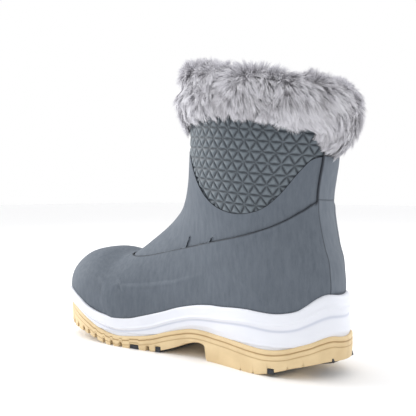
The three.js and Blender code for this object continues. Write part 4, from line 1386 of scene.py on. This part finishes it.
@dataclass
class FurCuff:
    """A cuff of long pile folded over the collar: a core of dense fur and strands combed in clumps."""

    form: BootForm
    meshes: Meshes
    strands: int = 150000
    pieces: int = 8
    length: float = 10.5
    clump_mm: float = 2.9
    hang: tuple = (
        (0, 49), (30, 45), (50, 39), (68, 33), (80, 29.5), (96, 27), (114, 25), (125, 25.5), (137, 26.5),
        (146, 27.5), (155, 29), (164, 33), (172, 39), (180, 43),
    )
    seed: int = 11

    def drop(self, angle: Array) -> Array:
        """How far the fur hangs: least at the sides and most at the front and back."""
        return through(self.hang, 180 - np.abs(180 - np.degrees(angle) % 360))

    def profile(self, angle: Array, share: Array) -> Array:
        """The core's surface: from its hem on the outside (0) over the top to the inside (1).

        Args:
            angle: angle from the front.
            share: share of the way.
        Returns:
            Points in mm.
        """
        angle, share = np.broadcast_arrays(angle, share)
        drop = self.drop(angle)
        lean = 8 * np.maximum(np.cos(angle - 0.35), 0) ** 1.2
        slim = 3.5 * np.maximum(np.cos(angle - 0.6), 0)
        full = 2.2 * np.maximum(-np.cos(angle), 0) ** 0.7
        one = np.ones_like(angle)
        out = [
            0.6 * one, 2.6 - slim * 0.3, 5.6 - slim * 0.7, 7.6 - slim + full * 0.5,
            8.4 - slim - 0.3 * lean + full, 7.0 - slim - 0.35 * lean + full, 3.4 - 0.25 * lean + full * 0.6,
            -1.5 - lean * 0.2, -6.5 * one, -11 * one, -13.6 * one, -14.2 * one, -13.4 * one,
        ]
        up = [
            10 - drop, 8 - drop, 11 - drop, 17 - drop,
            np.minimum(-12, -drop * 0.4), -2.5 - 0.45 * lean + full, 3 - 0.3 * lean + full,
            6.2 - lean * 0.45 + full, 6.4 - lean * 0.35 + full, 3 * one, -5 * one, -13 * one, -22 * one,
        ]
        knots = np.linspace(0, 1, len(out))
        stack_out, stack_up = np.stack(out, -1), np.stack(up, -1)
        place = np.clip(share, 0, 1) * (len(out) - 1)
        i = np.clip(place.astype(int), 0, len(knots) - 2)
        u = (place - i)[..., None]

        def pick(table: Array, k: Array) -> Array:
            """The table's value at a knot."""
            return np.take_along_axis(table, np.clip(k, 0, len(knots) - 1)[..., None], -1)

        def smooth(table: Array) -> Array:
            """A smooth curve through the knots by their neighbours' slopes."""
            a, b, c, d = (pick(table, i + k) for k in (-1, 0, 1, 2))
            cubic = 3 * (b - c) + d - a
            return (b + 0.5 * u * (c - a + u * (2 * a - 5 * b + 4 * c - d + u * cubic)))[..., 0]

        return self.form.beside_collar(angle, smooth(stack_out), smooth(stack_up))

    def core(self) -> None:
        """The dense under-fur that shows in the partings."""
        angle = np.linspace(0, 2 * np.pi, 321)[:-1]
        share = np.linspace(0, 1, 72)
        points = self.profile(angle[None, :], share[:, None])
        normal = self.normals(angle[None, :] + 0 * share[:, None], share[:, None] + 0 * angle[None, :])[0]
        points = points + normal * (0.8 * Ripple(7, 3, 14).at(points))[..., None]
        faces = Meshes.grid(len(share), len(angle), close_columns=True)[:, ::-1]
        tint = 0.42 + 0.2 * Ripple(9, 4).at(points)
        uv = np.stack([np.clip(tint, 0, 1), np.full(tint.shape, 0.05)], -1)
        made = self.meshes.piece("cuff_under_fur", points, [faces], uv=uv)
        Meshes.thicken(made, 0.6)
        dress(made, FurFibre().material(), Body.BOOT, ("cuff_pile",))

    def backing(self) -> None:
        """The cloth that the pile is rooted in, a band under the fur from its hem to the collar."""
        angle = np.linspace(0, 2 * np.pi, 241)[:-1]
        share = np.linspace(0, 1, 30)
        low = 13 - self.drop(angle)
        up = low[None, :] + (-1.6 - low)[None, :] * share[:, None]
        around = np.broadcast_to(angle, up.shape)
        waves = Ripple(5, 61, 6).at(self.form.beside_collar(around, np.zeros_like(up), up))
        points = self.form.beside_collar(around, 0.35 + 0.15 * waves, up)
        made = self.meshes.piece("cuff_backing_cloth", points, [Meshes.grid(*up.shape, close_columns=True)])
        Meshes.thicken(made, 0.5, outward=True)
        woven = PlainStock("backing_cloth", srgb(109, 112, 118), 0.7)
        dress(made, woven.material(), Body.BOOT, ("cuff_backing",))

    def normals(self, angle: Array, share: Array) -> tuple[Array, Array, Array]:
        """Unit vectors of the core at a place: outward, towards the hem, and around."""
        step = 2e-3
        along = self.profile(angle, share - step) - self.profile(angle, share + step)
        around = self.profile(angle + step, share) - self.profile(angle - step, share)
        along /= np.linalg.norm(along, axis=-1, keepdims=True) + 1e-9
        around /= np.linalg.norm(around, axis=-1, keepdims=True) + 1e-9
        normal = np.cross(around, along)
        normal /= np.linalg.norm(normal, axis=-1, keepdims=True) + 1e-9
        middle = self.form.beside_collar(angle, np.full(angle.shape, -3.5), np.full(angle.shape, -12.0))
        flip = np.sign(((self.profile(angle, share) - middle) * normal).sum(-1))
        return normal * flip[..., None], along, around

    def nearest(
        self, a: Array, b: Array, cells: tuple[int, int], rng: np.random.Generator
    ) -> tuple[Array, Array, Array]:
        """The clump that each strand belongs to: the nearest of one jittered centre in every cell of a grid.

        Args:
            a: place around, 0 to 1, joined at its ends.
            b: place along the profile, 0 to 1.
            cells: number of cells around and along.
            rng: the source of chance.
        Returns:
            The clump's number and its own two places.
        """
        n, m = cells
        ca = (np.arange(n)[:, None] + rng.uniform(0.1, 0.9, (n, m))) / n
        cb = (np.arange(m)[None, :] + rng.uniform(0.1, 0.9, (n, m))) / m
        i, j = (a * n).astype(int), (b * m).astype(int)
        best, number = np.full(a.shape, 1e9), np.zeros(a.shape, int)
        for di in (-1, 0, 1):
            for dj in (-1, 0, 1):
                ii, jj = (i + di) % n, np.clip(j + dj, 0, m - 1)
                da = (a - ca[ii, jj] + 0.5) % 1 - 0.5
                distance = (da * n) ** 2 + ((b - cb[ii, jj]) * m) ** 2
                nearer = distance < best
                best = np.where(nearer, distance, best)
                number = np.where(nearer, ii * m + jj, number)
        return number, ca.ravel()[number], cb.ravel()[number]

    def combed(self, angle: Array, share: Array, twist: Array) -> Array:
        """The way the fur lies at a place: down on the outside, standing on top, over into the boot inside.

        Args:
            angle: angle from the front.
            share: share along the profile.
            twist: extra swing around, in sideways units.
        Returns:
            Unit vectors.
        """
        normal, hem, around = self.normals(angle, share)
        root = self.profile(angle, share)
        swirl = Ripple(24, 41, 12).at(root) * 0.9 + Ripple(12, 42, 12).at(root) * 0.55
        lift = 0.4 + 0.2 * Ripple(17, 43, 12).at(root)
        lift = lift + 0.6 * bell(share, 0.62, 0.16) + 0.12 * smoother(share, 0.75, 0.9)
        down = (1 - smoother(share, 0.42, 0.64)) - 0.55 * smoother(share, 0.66, 0.9)
        down = down * (0.82 + 0.35 * Ripple(18, 44, 12).at(root))
        sideways = around * (swirl + twist)[..., None]
        way = normal * np.clip(lift, 0.16, 1.3)[..., None] + hem * down[..., None] + sideways
        return way / np.linalg.norm(way, axis=-1, keepdims=True)

    def fur(self) -> None:
        """Strands as thin tapering ribbons: each starts its own way and bends towards its clump's tip."""
        rng = np.random.default_rng(self.seed)
        n = self.strands
        a = rng.uniform(0, 1, n)
        pick = rng.uniform(0, 1, n)
        b = np.interp(pick, (0, 0.5, 0.78, 1), (0.0, 0.42, 0.72, 1.0))
        angle = 2 * np.pi * a
        cells = (int(390 / self.clump_mm), int(95 / self.clump_mm))
        number, ca, cb = self.nearest(a, b, cells, rng)
        total = cells[0] * cells[1]
        twist = rng.normal(0, 0.2, total)[number]
        reach = rng.uniform(0.78, 1.15, total)[number]
        shade = rng.normal(0, 0.13, total)[number]
        root = self.profile(angle, b)
        own = self.combed(angle, b, twist + rng.normal(0, 0.1, n))
        lead = self.combed(2 * np.pi * ca, cb, twist)
        length = self.length * reach * rng.uniform(0.72, 1.12, n) * (1 - 0.35 * smoother(b, 0.7, 0.95))
        centre = self.profile(2 * np.pi * ca, cb)
        tip_own = root + own * length[:, None]
        tip_lead = centre + lead * (self.length * reach)[:, None]
        gather = rng.uniform(0.1, 0.5, n)[:, None]
        tip = tip_own + (tip_lead - tip_own) * gather
        normal, _, _ = self.normals(angle, b)
        bow = normal * (0.16 * length)[:, None] * (1 - 0.5 * smoother(b, 0.5, 0.7))[:, None]
        middle = root + (tip - root) * 0.5 + bow
        tip[:, 2] -= 1.6 * (1 - smoother(b, 0.45, 0.6))
        t = np.array([0.0, 0.36, 0.7, 1.0])
        q0, q1, q2 = (1 - t) ** 2, 2 * t * (1 - t), t**2
        control = (2 * middle - (root + tip) / 2)[:, None]
        line = root[:, None] * q0[None, :, None] + control * q1[None, :, None]
        line = line + tip[:, None] * q2[None, :, None]
        way = tip - root
        across = np.cross(way, normal + rng.normal(0, 0.35, (n, 3)))
        across /= np.linalg.norm(across, axis=-1, keepdims=True) + 1e-9
        half = rng.uniform(0.1, 0.17, n)
        widths = half[:, None] * np.array([0.8, 1.0, 0.75])[None, :]
        left = line[:, :3] - across[:, None] * widths[..., None]
        right = line[:, :3] + across[:, None] * widths[..., None]
        points = np.concatenate([left, right, line[:, 3:]], 1)
        tint = np.clip(0.5 + shade + rng.normal(0, 0.1, n) + 0.16 * Ripple(22, 45).at(root), 0, 1)
        along = np.array([0.0, 0.36, 0.7, 0.0, 0.36, 0.7, 1.0])
        uv = np.stack([np.broadcast_to(tint[:, None], (n, 7)), np.broadcast_to(along, (n, 7))], -1)
        quads = np.array([[0, 3, 4, 1], [1, 4, 5, 2]])
        tips = np.array([[2, 5, 6]])
        material = FurFibre().material()
        order = np.argsort(a)
        for k, chosen in enumerate(np.array_split(order, self.pieces)):
            base = 7 * np.arange(len(chosen))[:, None, None]
            faces = [(base + quads).reshape(-1, 4), (base + tips).reshape(-1, 3)]
            made = self.meshes.piece(f"cuff_fur_{k + 1}", points[chosen], faces, uv=uv[chosen])
            dress(made, material, Body.BOOT)

    def build(self) -> None:
        """Makes the backing, the core and the strands."""
        self.backing()
        self.core()
        self.fur()


@dataclass
class HiddenLayers:
    """Finishes for the pieces that a worn boot hides; they keep their CAD meshes."""

    def build(self) -> None:
        """Gives each hidden node a finish of its own."""
        stocks = {
            "bootie": PlainStock("neoprene", srgb(51, 54, 59), 1.5),
            "toe_puff": PlainStock("felt_toe", srgb(138, 141, 146), 0.9),
            "heel_counter": PlainStock("felt_heel", srgb(138, 141, 146), 0.9),
            "bottom_filler": PlainStock("felt_filler", srgb(128, 130, 134), 0.9),
            "insole_board": PlainStock("board", srgb(180, 154, 114), 2.5),
            "shank": PlainStock("steel", srgb(157, 163, 168), 0.6, 1.0, 0.4),
        }
        for name, stock in stocks.items():
            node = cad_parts[name]
            node.data.materials.clear()
            node.data.materials.append(stock.material())


@dataclass
class Studio:
    """Pale floor, soft light and the camera."""

    stand: tuple[float, float, float] = (-0.35331, 0.41069, 0.13213)
    turn: float = -0.87443
    dip: float = 0.02337
    lens: float = 54.53

    def build(self) -> None:
        """Makes the stage."""
        self.floor()
        self.light("toe_side", (1.25, 0.35, 0.6), 0.8, 14.0)
        self.light("heel_side", (-0.8, -1.06, 0.5), 0.8, 5.0)
        self.light("overhead", (0.4, 0.0, 1.4), 0.9, 6.5)
        bpy.context.scene.view_settings.view_transform = "Standard"
        world = bpy.data.worlds.new("studio")
        bpy.context.scene.world = world
        world.use_nodes = True
        shade = world.node_tree.nodes["Background"]
        shade.inputs[0].default_value = (1.0, 1.0, 1.0, 1.0)
        shade.inputs[1].default_value = 1.0
        self.camera()

    def floor(self) -> None:
        """A large pale floor under the boot."""
        side = 6.0
        mesh = bpy.data.meshes.new("floor")
        corners = [(-side, -side, 0), (side, -side, 0), (side, side, 0), (-side, side, 0)]
        mesh.from_pydata(corners, [], [(0, 1, 2, 3)])
        floor = bpy.data.objects.new("floor", mesh)
        bpy.context.scene.collection.objects.link(floor)
        tree = Tree("floor_white")
        floor.data.materials.append(tree.finish(srgb(250, 250, 251), 0.6))

    def light(self, name: str, place: tuple[float, float, float], size: float, power: float) -> None:
        """A square soft light aimed at the boot's middle."""
        data = bpy.data.lights.new(name, "AREA")
        data.shape = "SQUARE"
        data.size = size
        data.energy = power
        lamp = bpy.data.objects.new(name, data)
        lamp.location = place
        lamp.rotation_euler = (Vector((0, 0, 0.1)) - Vector(place)).to_track_quat("-Z", "Y").to_euler()
        bpy.context.scene.collection.objects.link(lamp)

    def camera(self) -> None:
        """The camera, low behind the boot's inner side."""
        data = bpy.data.cameras.new("camera")
        data.lens = self.lens
        data.sensor_width = 36.0
        data.clip_start = 0.01
        camera = bpy.data.objects.new("camera", data)
        camera.location = self.stand
        way = (np.cos(self.turn) * np.cos(self.dip), np.sin(self.turn) * np.cos(self.dip), -np.sin(self.dip))
        camera.rotation_euler = Vector(way).to_track_quat("-Z", "Y").to_euler()
        bpy.context.scene.collection.objects.link(camera)
        bpy.context.scene.camera = camera


def main() -> None:
    """Builds the boot's sub-assemblies in order, then the stage."""
    logging.basicConfig(level=logging.INFO, format="%(name)s: %(message)s")
    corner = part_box("outsole")[0]
    form = BootForm((corner.x, 0.0, 0.0))
    meshes = Meshes(form)
    parts = [kind(form, meshes) for kind in (Sole, Upper, ReliefSleeve, Inside, FurCuff)]
    for part in parts + [HiddenLayers(), Studio()]:
        part.build()
        LOG.info("%s is built", type(part).__name__)


if __name__ == "__main__":
    main()
